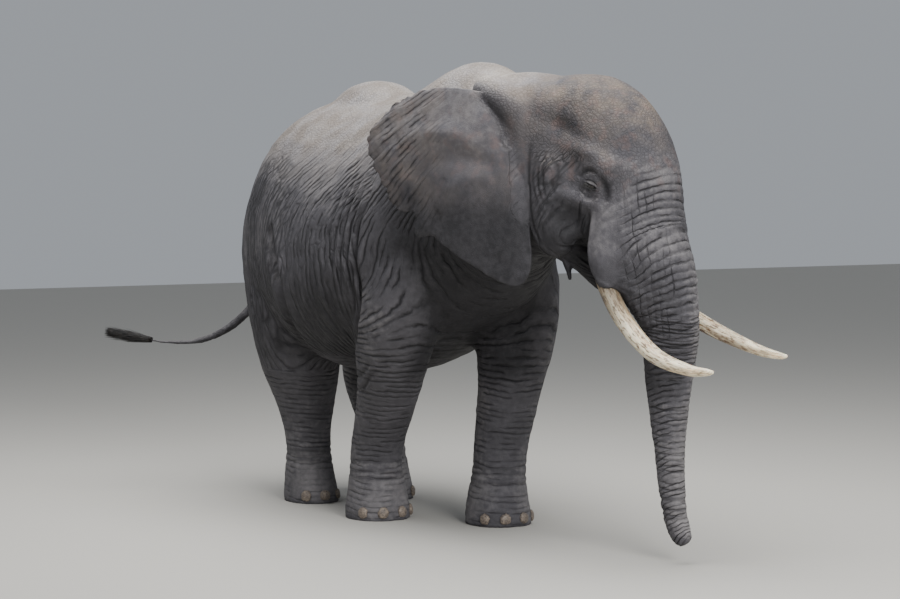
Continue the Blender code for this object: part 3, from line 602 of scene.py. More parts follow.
@dataclass(frozen=True)
class HideFinish:
    """Elephant hide: dry, thick skin, broken into plates by a net of creases, grey under pale dust, with
    painted shade in its cracks and creases and painted light on its upper parts.

    The mesh carries the directions of the creases as plate numbers (body_flow, arm_flow and
    trunk_flow), how deep they are (furrow, pebble), and the hide's tone with painted light and shade,
    tan and rosy patches, and the painted shade in its creases and round the eyes.
    """
    # painted shade: the near-black colour laid into the cracks, the creases and the eyes' slits
    shade_colour: str = "#121114"
    dark: str = "#252427"
    grey: str = "#4d4b4f"
    pale: str = "#8a8686"
    # the palest tone of the hide: dust, and painted light on its upper parts
    dust_and_light: str = "#a49c92"
    tan: str = "#6d6258"
    pink: str = "#775f58"
    pebble_mm: float = 24.0
    grain_mm: float = 8.5
    mottle_mm: float = 380.0
    speck_mm: float = 38.0
    earth_mm: float = 190.0
    patch_mm: float = 85.0
    depth_mm: float = 10.0
    fine_mm: float = 14.0
    line_shade_share: float = 0.8
    crest_dust_and_light_share: float = 0.13
    pebble_share: float = 0.34

    def make(self) -> Material:
        """Builds the material.

        Returns:
            The finished material.
        """
        hide = Finish("elephant hide", 0.72, 1.45, 0.42)
        furrow, pebble, net, tone_with_painted_light, tan, rosy, crease, arm = (
            hide.add("Attribute", out="Fac", attribute_name=name)
            for name in ("furrow", "pebble", "net", "tone_with_painted_light", "tan", "rosy", "crease", "arm"))
        flows = [hide.add("Attribute", out="Vector", attribute_name=name)
                 for name in ("body_flow", "arm_flow")]
        on_arm = hide.add("Math", {0: arm, 1: 0.5}, operation="GREATER_THAN")
        flow = hide.add("Mix", {0: on_arm, 4: flows[0], 5: flows[1]}, 1, data_type="VECTOR")
        swayed = hide.warp(hide.warp(flow, 420.0, 1.7), 95.0, 0.75)
        coarse = hide.add("MapRange", {"Value": net, "From Min": 0.5, "To Min": 1.0, "To Max": 0.45})
        share = hide.all_of(hide.broken(swayed, (0.7, 1.0, 1.0), 0.38, 0.6), coarse)
        long_line = hide.all_of(hide.furrows(swayed, "X", 0.02, 0.2), share)
        body_line = hide.all_of(hide.any_of(long_line, hide.all_of(net_line(hide, flow, net), net)), furrow)
        ring_line = trunk_line(hide)
        pebbles, grains = (hide.add("TexVoronoi", {"Vector": hide.place, "Scale": 1000.0 / size}, "Distance",
                                    feature="DISTANCE_TO_EDGE") for size in (self.pebble_mm, self.grain_mm))
        gaps = hide.add("MapRange", {"Value": pebbles, "From Min": 0.02, "From Max": 0.16, "To Min": 1.0,
                                     "To Max": 0.0})
        pebble_line = hide.all_of(gaps, pebble, self.pebble_share)
        # painted shade along the cracks of the net, the trunk's rings and the pebbles
        lines = hide.all_of(hide.any_of(body_line, ring_line, pebble_line), self.line_shade_share)

        ridge = hide.all_of(furrow, share)
        slope = hide.furrows(swayed, "X", 0.0, 0.5)
        for mottling in (hide.blotches(self.mottle_mm, 0.3, 0.7, -0.07, 0.07),
                         hide.blotches(self.speck_mm, 0.32, 0.68, -0.05, 0.05)):
            tone_with_painted_light = hide.add("Math", {0: tone_with_painted_light, 1: mottling}, operation="ADD")
        # partly dust on the ridges, partly painted light and shade: plate crowns paler, slopes towards the
        # creases darker
        crest_dust_and_light = hide.all_of(hide.add("Math", {0: slope, 1: 0.5}, operation="SUBTRACT"), ridge)
        tone_with_painted_light = hide.add("Math", {0: crest_dust_and_light, 1: -self.crest_dust_and_light_share, 2: tone_with_painted_light}, operation="MULTIPLY_ADD")
        colour = hide.add("ValToRGB", {"Fac": tone_with_painted_light})
        stops = ((0.04, self.dark), (0.38, self.grey), (0.72, self.pale), (1.0, self.dust_and_light))
        marks = colour.node.color_ramp.elements
        while len(marks) < len(stops):
            marks.new(0.5)
        for mark, (position, code) in zip(marks, stops):
            mark.position = position
            mark.color = linear(code)
        earth = hide.all_of(tan, hide.blotches(self.earth_mm, 0.36, 0.62, detail=4.0))
        rosy = hide.all_of(rosy, hide.blotches(self.patch_mm, 0.52, 0.7, detail=2.0))
        # painted shade over the cracks of the net, over the creases and round the eyes
        colour = hide.cover(colour, (earth, self.tan), (rosy, self.pink), (lines, self.shade_colour),
                            (crease, self.shade_colour))

        fine = hide.add("TexNoise", {"Vector": hide.place, "Scale": 1000.0 / self.fine_mm, "Detail": 3.0,
                                     "Roughness": 0.55}, "Fac")
        grain_top = hide.add("MapRange", {"Value": grains, "From Max": 0.3})
        pebble_top = hide.all_of(hide.add("MapRange", {"Value": pebbles, "From Max": 0.28}), pebble)
        height = 0.0
        for rise, weight in ((grain_top, 0.09), (pebble_top, 0.26), (hide.all_of(slope, ridge), -0.9),
                             (body_line, -0.9), (ring_line, -1.0), (fine, 0.12)):
            height = hide.add("Math", {0: rise, 1: weight, 2: height}, operation="MULTIPLY_ADD")
        normal = hide.add("Bump", {"Height": height, "Strength": 1.0, "Distance": self.depth_mm / 1000.0})
        return hide.finish(colour, normal, hide.blotches(70.0, 0.3, 0.7, 0.62, 0.82, 2.0))


@dataclass(frozen=True)
class IvoryFinish:
    """Ivory: warm cream dentine, polished by use, finely cracked along its length and stained."""
    cream: str = "#fff4d8"
    warm: str = "#d3b486"
    stain: str = "#54391f"
    earth: str = "#4f463d"
    crack: str = "#57432f"
    crack_mm: float = 14.0

    def make(self) -> Material:
        """Builds the material.

        Returns:
            The finished material.
        """
        ivory = Finish("tusk ivory", 0.36, 1.54)
        round_x, round_y, along, stain, fleck, root = (
            ivory.add("Attribute", out="Fac", attribute_name=name)
            for name in ("round_x", "round_y", "along", "stain", "fleck", "root"))
        layers = ivory.add("CombineXYZ", {0: round_x, 1: round_y, 2: ivory.all_of(along, 0.08)})
        patches = ivory.add("VectorMath", {0: layers, 1: (1.0, 1.0, 3.2)}, operation="MULTIPLY")
        streak, broad = (ivory.add("TexNoise", {"Vector": layers, "Scale": 1000.0 / size, "Detail": detail,
                                                "Roughness": 0.55}, "Fac")
                         for size, detail in ((9.0, 4.0), (38.0, 2.0)))
        shade = ivory.add("MapRange", {"Value": broad, "From Min": 0.42, "From Max": 0.78})
        worn = ivory.add("MapRange", {"Value": streak, "From Min": 0.52, "From Max": 0.68, "To Max": 0.45})
        stained = ivory.all_of(stain, ivory.blotches(40.0, 0.36, 0.5, detail=5.0, place=patches))
        flecks = ivory.all_of(ivory.blotches(13.0, 0.51, 0.6, 0.0, 0.85, 4.0, patches), fleck)
        cracks = ivory.add("TexVoronoi", {"Vector": layers, "Scale": 1000.0 / self.crack_mm}, "Distance",
                           feature="DISTANCE_TO_EDGE")
        split = ivory.all_of(
            ivory.add("MapRange", {"Value": cracks, "From Max": 0.09, "To Min": 1.0, "To Max": 0.0}),
            ivory.add("MapRange", {"Value": broad, "From Min": 0.4, "From Max": 0.62}))
        colour = ivory.cover(self.cream, (shade, self.warm), (worn, self.warm), (stained, self.stain),
                             (flecks, self.stain), (root, self.earth),
                             (ivory.all_of(split, 0.75), self.crack))
        whole = ivory.add("Math", {0: 1.0, 1: split}, operation="SUBTRACT")
        normal = ivory.add("Bump", {"Height": whole, "Strength": 0.5, "Distance": 0.0008})
        normal = ivory.add("Bump", {"Height": streak, "Strength": 0.3, "Distance": 0.0006, "Normal": normal})
        rough = ivory.add("MapRange", {"Value": streak, "From Min": 0.3, "From Max": 0.75, "To Min": 0.28,
                                       "To Max": 0.55})
        ivory.shader.inputs["Subsurface Weight"].default_value = 0.08
        ivory.shader.inputs["Subsurface Scale"].default_value = 0.01
        return ivory.finish(colour, normal, rough)


@dataclass(frozen=True)
class NailFinish:
    """Toenail horn: dull grey-brown keratin with growth ridges, dusty and worn at its edge."""
    horn: str = "#6c6158"
    worn: str = "#8b7e70"
    dirt: str = "#3d3631"
    ridge_mm: float = 5.0

    def make(self) -> Material:
        """Builds the material.

        Returns:
            The finished material.
        """
        nail = Finish("toenail horn", 0.55, 1.54)
        colour = nail.cover(self.horn, (nail.blotches(26.0, 0.35, 0.68), self.worn),
                            (nail.blotches(12.0, 0.48, 0.7), self.dirt))
        across = nail.add("Mapping", {"Vector": nail.place, "Scale": (0.25, 0.25, 1.0)})
        ridges = nail.add("TexNoise", {"Vector": across, "Scale": 1000.0 / self.ridge_mm, "Detail": 2.0,
                                       "Roughness": 0.55}, "Fac")
        return nail.finish(colour, nail.add("Bump", {"Height": ridges, "Strength": 0.6, "Distance": 0.0008}))


@dataclass(frozen=True)
class EyeFinish:
    """A wet eye: brown iris round a black pupil, with a clear glossy cornea."""
    pupil: str = "#050403"
    iris: str = "#1d130c"
    amber: str = "#332010"
    white: str = "#3a322d"
    fibre_mm: float = 2.5

    def make(self) -> Material:
        """Builds the material.

        Returns:
            The finished material.
        """
        eye = Finish("eye", 0.06, 1.38)
        eye.shader.inputs["Coat Weight"].default_value = 0.6
        eye.shader.inputs["Coat Roughness"].default_value = 0.03
        fibres = eye.add("TexNoise", {"Vector": eye.place, "Scale": 1000.0 / self.fibre_mm, "Detail": 3.0,
                                      "Roughness": 0.55}, "Fac")
        off = eye.add("Attribute", out="Fac", attribute_name="off_axis")
        edges = [eye.add("MapRange", {"Value": off, "From Min": low, "From Max": high})
                 for low, high in ((0.3, 0.36), (0.6, 0.68), (0.72, 0.9))]
        iris = eye.cover(self.iris, (fibres, self.amber))
        colour = eye.cover(self.pupil, *zip(edges, (iris, self.white, self.pupil)))
        return eye.finish(colour)


@dataclass(frozen=True)
class HairFinish:
    """Elephant hair: thick black wire-like keratin with a dull sheen."""
    black: str = "#0d0c0c"
    brown: str = "#2a2420"

    def make(self) -> Material:
        """Builds the material.

        Returns:
            The finished material.
        """
        hair = Finish("wiry hair", 0.48, 1.55)
        colour = hair.cover(self.black, (hair.blotches(30.0, 0.4, 0.7, detail=2.0), self.brown))
        return hair.finish(colour)


# ---------------------------------------------------------------- relief
@dataclass(frozen=True)
class Fold:
    """A crease or ridge drawn on the side of the head, seen square on from its side.

    The path is (ahead, up) places. A positive depth sinks a crease with painted shade in its bottom and
    raises a lip beside it; a negative depth raises a ridge. It is made on both sides of the head.
    """
    name: str
    path: tuple
    width: float
    depth: float
    lip: float = 0.35


FOLDS = (
    Fold("brow hollow", ((0.425, 2.425), (0.47, 2.462), (0.53, 2.468), (0.575, 2.44)), 0.022, 0.015, 0.1),
    Fold("inner corner", ((0.578, 2.44), (0.605, 2.39), (0.618, 2.33), (0.62, 2.27)), 0.026, 0.014, 0.1),
    Fold("bag crease", ((0.425, 2.352), (0.455, 2.324), (0.51, 2.304), (0.575, 2.306)), 0.007, 0.005),
    Fold("bag", ((0.29, 2.35), (0.37, 2.305), (0.44, 2.275), (0.52, 2.262), (0.58, 2.27)), 0.04, -0.016),
    Fold("gland", ((0.222, 2.455), (0.236, 2.474), (0.254, 2.468), (0.25, 2.448), (0.232, 2.44)), 0.006,
         0.004),
    Fold("cheek rim", ((0.1, 2.64), (0.082, 2.54), (0.078, 2.4), (0.086, 2.25), (0.11, 2.1),
                       (0.16, 1.99)), 0.013, 0.012),
    Fold("cheek fold", ((0.15, 2.56), (0.115, 2.47), (0.118, 2.37), (0.15, 2.27)), 0.01, 0.008),
    Fold("cheek fold", ((0.192, 2.55), (0.158, 2.465), (0.16, 2.37), (0.188, 2.28)), 0.01, 0.008),
    Fold("cheek fold", ((0.24, 2.54), (0.202, 2.465), (0.202, 2.37), (0.228, 2.29)), 0.01, 0.007),
    Fold("cheek fold", ((0.29, 2.5), (0.262, 2.445), (0.262, 2.38), (0.285, 2.32)), 0.009, 0.005),
    Fold("mouth line", ((0.44, 1.88), (0.39, 1.93), (0.33, 1.975), (0.27, 1.99)), 0.013, 0.014),
    Fold("sheath edge", ((0.486, 2.235), (0.468, 2.14), (0.456, 2.04), (0.452, 1.95), (0.462, 1.86),
                         (0.5, 1.79)), 0.021, 0.026, 0.5),
)


@dataclass(frozen=True)
class Swell:
    """A soft bulge on the side of the head, or with a negative height a hollow.

    Its place and reach are (ahead, up); its long axis dips ahead by its slope.
    """
    name: str
    place: tuple[float, float]
    reach: tuple[float, float]
    slope: float
    height: float


SWELLS = (
    Swell("temple hollow", (0.3, 2.735), (0.165, 0.062), 28.0, -0.026),
    Swell("brow ridge", (0.56, 2.56), (0.2, 0.05), 24.0, 0.024),
    Swell("cheekbone", (0.215, 2.5), (0.15, 0.105), 18.0, 0.026),
    Swell("cheek hollow", (0.375, 2.15), (0.11, 0.075), 0.0, -0.042),
    Swell("mouth hollow", (0.4, 2.02), (0.06, 0.09), 0.0, -0.028),
    Swell("sheath", (0.58, 2.05), (0.085, 0.19), 0.0, 0.012),
)

TRUNK_LINE = ((0.5, 2.7), (0.6, 2.4), (0.69, 2.06), (0.755, 1.94), (0.816, 1.82), (0.868, 1.64),
              (0.9, 1.45), (0.89, 1.27), (0.884, 1.1), (0.888, 0.9), (0.895, 0.7), (0.91, 0.5),
              (0.93, 0.34), (0.97, 0.2), (1.025, 0.125))


@dataclass(frozen=True)
class TrunkMap:
    """Maps points of the trunk to how far along it they lie and how far round."""
    length: float = 3.2
    samples: int = 200
    stations: tuple = (0.0, 0.6, 1.2, 2.2, 2.9)
    spacings: tuple = (0.048, 0.047, 0.044, 0.036, 0.028)
    lane: float = 0.04
    half_widths: tuple = (0.34, 0.27, 0.19, 0.13, 0.09)

    def read(self, head: Array) -> tuple[Array, Array, Array, Array]:
        """Finds ring and lane numbers for points in head places.

        Args:
            head: An (n, 3) array of (ahead, aside, up) places.
        Returns:
            The ring number, lane number, distance along and angle round the trunk.
        """
        line = curve(TRUNK_LINE, 6)
        _, share = distance_to(head[:, (0, 2)], line)
        shares = np.linspace(0.0, 1.0, len(line))
        along = np.interp(share, shares, run_of(line))
        middle = np.interp(share, shares, line[:, 0])
        angle = np.arctan2(head[:, 1], head[:, 0] - middle + 0.05)
        grain = Grain(37)
        sway = grain.smooth(stack(angle * 0.9, along * 3.5, 0.0))
        fine = grain.smooth(stack(angle * 3.0, along * 12.0, 1.0))
        far = np.linspace(0.0, self.length, self.samples)
        counts = np.cumsum(1.0 / np.interp(far, self.stations, self.spacings)) * self.length / self.samples
        spacing = np.interp(along, self.stations, self.spacings)
        bend = 0.045 * np.cos(angle) + 0.02 * sway + 0.007 * fine
        rings = np.interp(along, far, counts) + bend / spacing
        width = np.interp(along, self.stations, self.half_widths)
        lanes = (angle * width + 0.012 * sway) / self.lane
        return rings, lanes, along, angle


@dataclass
class Relief:
    """Height, and the painted shade in the creases, gathered over the skin's points."""
    points: Array
    normals: Array
    height: Array = field(init=False)
    crease: Array = field(init=False)
    body: Array = field(init=False)
    head: Array = field(init=False)

    def __post_init__(self) -> None:
        """Starts flat."""
        self.height = np.zeros(len(self.points))
        self.crease = np.zeros(len(self.points))
        self.body = to_body(self.points)
        self.head = to_head(self.points)

    def sink(self, weight: Array, depth: float, shade: float) -> None:
        """Lowers the skin by a weight of some depth, and paints shade into it as a crease."""
        self.height -= weight * depth
        self.crease = np.maximum(self.crease, weight * shade)

    def darken(self, spots: Array, shade: Array) -> None:
        """Paints shade into some of the points, at least as dark as given."""
        self.crease[spots] = np.maximum(self.crease[spots], shade)

    def draw_fold(self, fold: Fold, side: int) -> None:
        """Sinks or raises one fold on one side of the head.

        Args:
            fold: The fold to draw.
            side: 1 for the right side, -1 for the left.
        """
        line = curve(fold.path, 8)
        low = line.min(axis=0) - fold.width * 4.0
        high = line.max(axis=0) + fold.width * 4.0
        flat = self.head[:, (0, 2)]
        near = np.all((flat > low) & (flat < high), axis=1) & (self.head[:, 1] * side > 0.1)
        spots = np.nonzero(near)[0]
        if not len(spots):
            return
        gap, share = distance_to(flat[spots], line)
        fade = taper(share)
        self.height[spots] -= fold.depth * fold_profile(gap, fold.width, fold.lip) * fade
        # a sunken fold gets painted shade along its bottom
        if fold.depth > 0.0:
            self.darken(spots, valley(gap, fold.width) * fade * min(fold.depth / FULL_SHADE, 0.9))

    def draw_swell(self, swell: Swell, side: int) -> None:
        """Raises or sinks one swell on one side of the head.

        Args:
            swell: The swell to draw.
            side: 1 for the right side, -1 for the left.
        """
        lean = math.radians(swell.slope)
        ahead, up = self.head[:, 0] - swell.place[0], self.head[:, 2] - swell.place[1]
        long = (ahead * math.cos(lean) - up * math.sin(lean)) / swell.reach[0]
        short = (ahead * math.sin(lean) + up * math.cos(lean)) / swell.reach[1]
        on_side = step(self.head[:, 1] * side, 0.06, 0.18)
        self.height += swell.height * np.exp(-long ** 2 - short ** 2) * on_side

    def pave(self, where: Array, across: Array, along: Array, other: Array, pattern: "Pattern") -> None:
        """Breaks part of the skin into long plates with creases between them.

        Args:
            where: How strongly each point takes the pattern, 0 to 1.
            across: Coordinate that the creases repeat along.
            along: Coordinate that they run along.
            other: A third coordinate, which only varies the pattern.
            pattern: The sizes of the plates.
        """
        spots = np.nonzero(where > LEAST_WEIGHT)[0]
        if not len(spots):
            return
        grain = Grain(pattern.seed)
        flat = stack(across[spots], along[spots], other[spots])
        places = flat / (pattern.spacing, pattern.length, pattern.length)
        sway = flat / (pattern.length * 1.2)
        places[:, 0] += grain.smooth(sway) * pattern.sway
        inside = grain.plates(places)
        crack = 1.0 - step(inside, 0.0, pattern.edge)
        patch = step(grain.smooth(sway * 1.7 + 7.3), -0.4, 0.5)
        weight = where[spots] * (pattern.least + (1.0 - pattern.least) * patch)
        self.height[spots] += (step(inside, 0.0, pattern.crown) - pattern.crown) * pattern.depth * weight
        # painted shade in the cracks between the plates
        self.darken(spots, crack * weight * pattern.shade)

    def wrinkle_body(self) -> None:
        """Lays the soft folds of flank, hips, shoulders and legs, and the deep ones between them."""
        forward, right, up = self.body.T
        top = step(self.normals[:, 2], 0.45, 0.85) * step(up, 2.3, 2.6)
        arm = arm_share(self.body) * (1.0 - top)
        legs = step(up, 1.1, 0.95)
        tail = step(forward, -2.28, -2.36)
        hip = step(forward, -0.85, -1.45) * (1.0 - legs) * (1.0 - tail) * (1.0 - top)
        nape = step(forward, 0.55, 0.8) * step(self.head[:, 0], 0.12, -0.02) * (1.0 - arm * 0.6)
        nape *= step(up, 2.55, 2.35)
        flank = (1.0 - arm) * (1.0 - legs) * (1.0 - top * 0.8) * (1.0 - hip * 0.5) * step(forward, 0.8, 0.5)
        along, across = flank_axes(forward, up)
        self.pave(flank, across, along, right, FLANK)
        self.pave(hip, across, along, right, HIP)
        along, across = arm_axes(forward, up)
        self.pave(arm * step(forward, -1.1, -0.9) * step(up, 0.35, 0.7), across, along, right, ARM)
        shank = legs * np.maximum(step(forward, -0.9, -1.1), step(up, 0.7, 0.35))
        self.pave(shank, up, forward, right, SHANK)
        self.pave(nape, forward + 0.25 * up, up, right, NAPE)
        on_side = step(np.abs(right), 0.42, 0.58)
        for path, width, depth in ARM_FOLDS:
            self.groove(path, width, depth, on_side)
        wrist = np.abs(right - 0.36) < 0.4
        for path, width, depth in WRIST_FOLDS:
            self.groove(path, width, depth, wrist * step(forward, -0.95, -0.75))
        self.groove(THIGH_GROOVE, 0.055, 0.046, step(np.abs(right), 0.35, 0.55), 0.45)
        for height in (0.3, 0.345, 0.395):
            wave = 0.014 * np.sin(forward * 9.0 + right * 7.0 + height * 40.0)
            self.sink(valley(up - height - wave, 0.012) * step(up, 0.7, 0.5), 0.006, 0.35)
        ring = valley(np.sin((forward * 0.6 + up) * math.pi / 0.03), 0.5)
        self.sink(ring * tail, 0.004, 0.4)

    def groove(self, path: tuple, width: float, depth: float, where: Array, shade: float = 0.75) -> None:
        """Sinks one long fold of the body, drawn from the side.

        Args:
            path: Places as (forward, up).
            width: Half the fold's width.
            depth: How deep it is.
            where: How much each point takes.
            shade: How dark the painted shade in its bottom is.
        """
        spots = np.nonzero(where > LEAST_WEIGHT)[0]
        gap, share = distance_to(self.body[spots][:, (0, 2)], curve(path, 6))
        fade = taper(share) * where[spots]
        self.height[spots] -= depth * fold_profile(gap, width, 0.35) * fade
        self.darken(spots, valley(gap, width * 0.6) * fade * shade)

    def wrinkle_head(self) -> None:
        """Lays the creases of the cheeks."""
        ahead, aside, up = self.head.T
        on_head = step(ahead, 0.0, 0.1) * (1.0 - trunk_share(self.head))
        cheek = on_head * step(ahead, 0.5, 0.42) * step(up, 2.6, 2.48) * step(up, 1.65, 1.85)
        bag = step(up, 2.26, 2.31) * step(ahead, 0.27, 0.34)
        self.pave(cheek * (1.0 - 0.9 * bag), cheek_bow(ahead, up), up, aside, CHEEK)

    def ring_trunk(self) -> None:
        """Rings the trunk with folds, crossed by lengthwise creases near its base."""
        near = np.nonzero((self.head[:, 0] > 0.45) & (self.head[:, 2] < 2.75))[0]
        head = self.head[near]
        rings, lanes, along, angle = TrunkMap().read(head)
        share = trunk_share(head)
        spacing = np.interp(along, TrunkMap.stations, TrunkMap.spacings)
        grain = Grain(43)
        cells = stack(np.round(rings) * 0.7, angle * 0.8, 0.0)
        strength = share * (0.65 + 0.5 * grain.smooth(cells)) * (0.45 + 0.55 * step(np.cos(angle), -0.8, 0.4))
        gap = np.abs(rings - np.round(rings)) * spacing
        depth = np.interp(along, (0.3, 0.9, 1.6, 2.9), (0.006, 0.008, 0.007, 0.0035))
        self.height[near] -= valley(gap, 0.008) * strength * depth
        # painted shade in the trunk's rings
        self.darken(near, np.clip(valley(gap, 0.006) * strength, 0.0, 1.0) * 0.4)
        gap = np.abs(lanes - np.round(lanes)) * TrunkMap.lane
        self.height[near] -= valley(gap, 0.008) * share * step(along, 1.9, 1.2) * 0.0035


@dataclass(frozen=True)
class Pattern:
    """Plates of wrinkled skin: crease spacing, plate length, depth and how dark the painted shade in
    the creases is.

    The creases are an edge wide, a plate is flat from its crown inwards, and some patches have
    creases of the least share of the depth.
    """
    seed: int
    spacing: float
    length: float
    depth: float
    edge: float = 0.3
    sway: float = 1.0
    shade: float = 0.6
    crown: float = 0.75
    least: float = 0.55


def distance_to(points: Array, line: Array) -> tuple[Array, Array]:
    """Distance from a polyline and the share of its length where it is nearest.

    Args:
        points: An (n, k) array.
        line: An (m, k) array of the polyline's corners.
    Returns:
        The distances and the shares, 0 to 1.
    """
    best = np.full(len(points), 1e9)
    share = np.zeros(len(points))
    spans = len(line) - 1
    for index in range(spans):
        start, way = line[index], line[index + 1] - line[index]
        part = np.clip(((points - start) @ way) / max(way @ way, 1e-12), 0.0, 1.0)
        gap = np.linalg.norm(points - start - part[:, None] * way, axis=1)
        closer = gap < best
        best = np.where(closer, gap, best)
        share = np.where(closer, (index + part) / spans, share)
    return best, share


# ---------------------------------------------------------------- ears
EAR_OUTLINE = (
    # back from the root, up
    (0.02, 2.77), (0.11, 2.88), (0.21, 2.945), (0.36, 2.975), (0.52, 2.995), (0.72, 3.0), (0.95, 2.93),
    (1.12, 2.81), (1.225, 2.7), (1.215, 2.6), (1.15, 2.49), (1.08, 2.37), (1.035, 2.255), (0.95, 2.2),
    (0.86, 2.2), (0.825, 2.17), (0.84, 2.07), (0.8, 2.03), (0.7, 2.045), (0.635, 2.0), (0.515, 1.905),
    (0.37, 1.83), (0.21, 1.76), (0.09, 1.735), (0.01, 1.765), (-0.03, 1.85), (-0.035, 1.96), (-0.02, 2.15),
    (-0.02, 2.5),
)
EAR_ROOT = (0.05, 0.375)
EAR_FAN = (-0.55, 3.7)


def ear_back(head: Array) -> Array:
    """How far back from its ear's root line each point in head places lies, seen from above."""
    return np.hypot(head[:, 0] - EAR_ROOT[0], np.abs(head[:, 1]) - EAR_ROOT[1])


def fan_axes(back: Array, up: Array) -> tuple[Array, Array]:
    """Angle round the middle that an ear's folds fan out from, and distance from it."""
    return np.arctan2(up - EAR_FAN[1], back - EAR_FAN[0]), np.hypot(up - EAR_FAN[1], back - EAR_FAN[0])


def ring_faces(rows: int, count: int) -> list[tuple[int, ...]]:
    """Faces, as numbers of points, between closed rings of points that follow one another."""
    return [(low + at, low + (at + 1) % count, low + count + (at + 1) % count, low + count + at)
            for low in range(0, (rows - 1) * count, count) for at in range(count)]


@dataclass(frozen=True)
class Ear:
    """One ear: a thin leaf that stands off the head by its splay and hangs by its front edge."""
    side: int
    splay_root: float
    splay_rear: float
    middle: tuple[float, float] = (0.42, 2.45)
    root: tuple[float, float] = EAR_ROOT
    rings: int = 46
    steps: int = 10
    rim_thickness: float = 0.011
    core_thickness: float = 0.022
    lobe: float = 0.105
    scallop: float = 0.03
    ragged: float = 0.016
    fan_height: float = 0.0075
    slow_height: float = 0.009
    rim_height: float = 0.01
    ridge_share: float = 1.2
    ridges: tuple = (
        # path as (back, up), height, width
        (((0.3, 2.62), (0.5, 2.7), (0.73, 2.71), (0.95, 2.66)), 0.026, 0.06),
        (((0.22, 2.5), (0.42, 2.55), (0.65, 2.52), (0.88, 2.44)), -0.02, 0.05),
        (((0.22, 2.42), (0.38, 2.42), (0.52, 2.34), (0.62, 2.2)), 0.024, 0.055),
        (((0.1, 2.62), (0.15, 2.78), (0.25, 2.9), (0.42, 2.95)), -0.045, 0.085),
        (((0.06, 2.3), (0.12, 2.1), (0.18, 1.9)), 0.012, 0.07),
    )

    def lay(self, back: Array, up: Array) -> Array:
        """World places on the ear's middle surface.

        Args:
            back: Distances back from the root line.
            up: Heights.
        Returns:
            An (n, 3) array of world places.
        """
        forward, out = np.zeros(len(back)), np.zeros(len(back))
        parts = 12
        for part in range(parts):
            reach = back * (part + 0.5) / parts / 1.15
            splay = self.splay_root + (self.splay_rear - self.splay_root) * np.clip(reach, 0.0, 1.0)
            forward -= np.cos(splay) * back / parts
            out += np.sin(splay) * back / parts
        lean = 0.06 * ((up - 2.45) / 0.6) ** 2 * np.clip(back * 2.0, 0.0, 1.0)
        ripple = 0.018 * np.sin(back * 9.0 + up * 4.0) * np.clip(back, 0.0, 1.0)
        root = from_head(stack(self.root[0], self.root[1] * self.side, up))
        return root + stack(-(out - lean + ripple) * self.side, -forward, 0.0)

    def folds(self, back: Array, up: Array, share: Array) -> Array:
        """Height of the soft folds that fan to the rear edge, and of the hollow below the root's roll.

        Args:
            back: Distances back from the root line.
            up: Heights.
            share: How far out each place is, 1 on the rim.
        Returns:
            Heights off the middle surface.
        """
        grain = Grain(41)
        flat = stack(back, up, 0.0)
        angle, reach = fan_axes(back, up)
        sway = grain.smooth(flat * 3.0)
        fan = np.sin(angle * 118.0 + sway * 2.4 + reach * 3.0)
        fan += 0.4 * np.sin(angle * 190.0 - sway * 3.1 + reach * 5.0)
        rear = step(back, 0.5, 0.95) * step(up, 2.02, 2.2) * step(up, 3.03, 2.9)
        slow = grain.smooth(flat * 5.0 + 3.0)
        rim = step(share, 0.9, 1.0) * grain.smooth(flat * 14.0)
        main = 0.0
        for path, depth, width in self.ridges:
            gap, at = distance_to(flat[:, :2], curve(path, 5))
            main = main + depth * valley(gap, width) * taper(at)
        return (fan * self.fan_height * rear + slow * self.slow_height + rim * self.rim_height
                + main * self.ridge_share)

    def build(self) -> Object:
        """Models the leaf as a closed mesh.

        Returns:
            The new object.
        """
        outline = self.outline()
        count = len(outline)
        shares = np.sin(np.linspace(0.0, 1.0, self.rings) * math.pi / 2.0)[1:]
        back, up = (np.append((middle + (edge - middle) * shares[:, None]).ravel(), middle)
                    for middle, edge in zip(self.middle, outline.T))
        share = np.append(np.repeat(shares, count), 0.0)
        solid = np.maximum(step(back, 0.45, 0.0), 1.0 - share ** 3)
        thick = self.rim_thickness + (self.core_thickness - self.rim_thickness) * solid
        thick *= np.sqrt(np.clip(1.0 - ((share - 0.985) / 0.015).clip(0.0, 1.0) ** 2 * 0.85, 0.05, 1.0))
        fold = self.folds(back, up, share)
        surface, normal = self.lay(back, up), self.facing(back, up)
        outer = surface + normal * (thick * 0.5 + fold)[:, None]
        inner = surface + normal * (fold * 0.8 - thick * 0.5)[:, None]
        total, rows = len(back), len(shares)
        faces = ring_faces(rows, count) + [(at, total - 1, (at + 1) % count) for at in range(count)]
        rear = [tuple(corner + total for corner in reversed(face)) for face in faces]
        rim = (rows - 1) * count
        edge = [(rim + at, rim + (at + 1) % count, rim + (at + 1) % count + total, rim + at + total)
                for at in range(count)]
        mesh = bpy.data.meshes.new("ear")
        mesh.from_pydata(np.vstack((outer, inner)).tolist(), [], faces + rear + edge)
        item = new_object("ear", mesh)
        face_out(item)
        return item

    def outline(self) -> Array:
        """The ear's edge as (back, up) places, ragged and lobed at its rear."""
        edge = curve(EAR_OUTLINE, self.steps, closed=True)
        ragged = Grain(47).smooth(stack(*edge.T * 24.0, 0.0))
        lobes = np.sqrt(np.abs(np.sin(run_of(edge) * math.pi / self.lobe + 1.3 * ragged))) - 1.0
        growth = (self.ragged * ragged + self.scallop * lobes) * step(edge[:, 0], 0.45, 0.75)
        middle = np.array(self.middle)
        return middle + (edge - middle) * (1.0 + growth)[:, None]

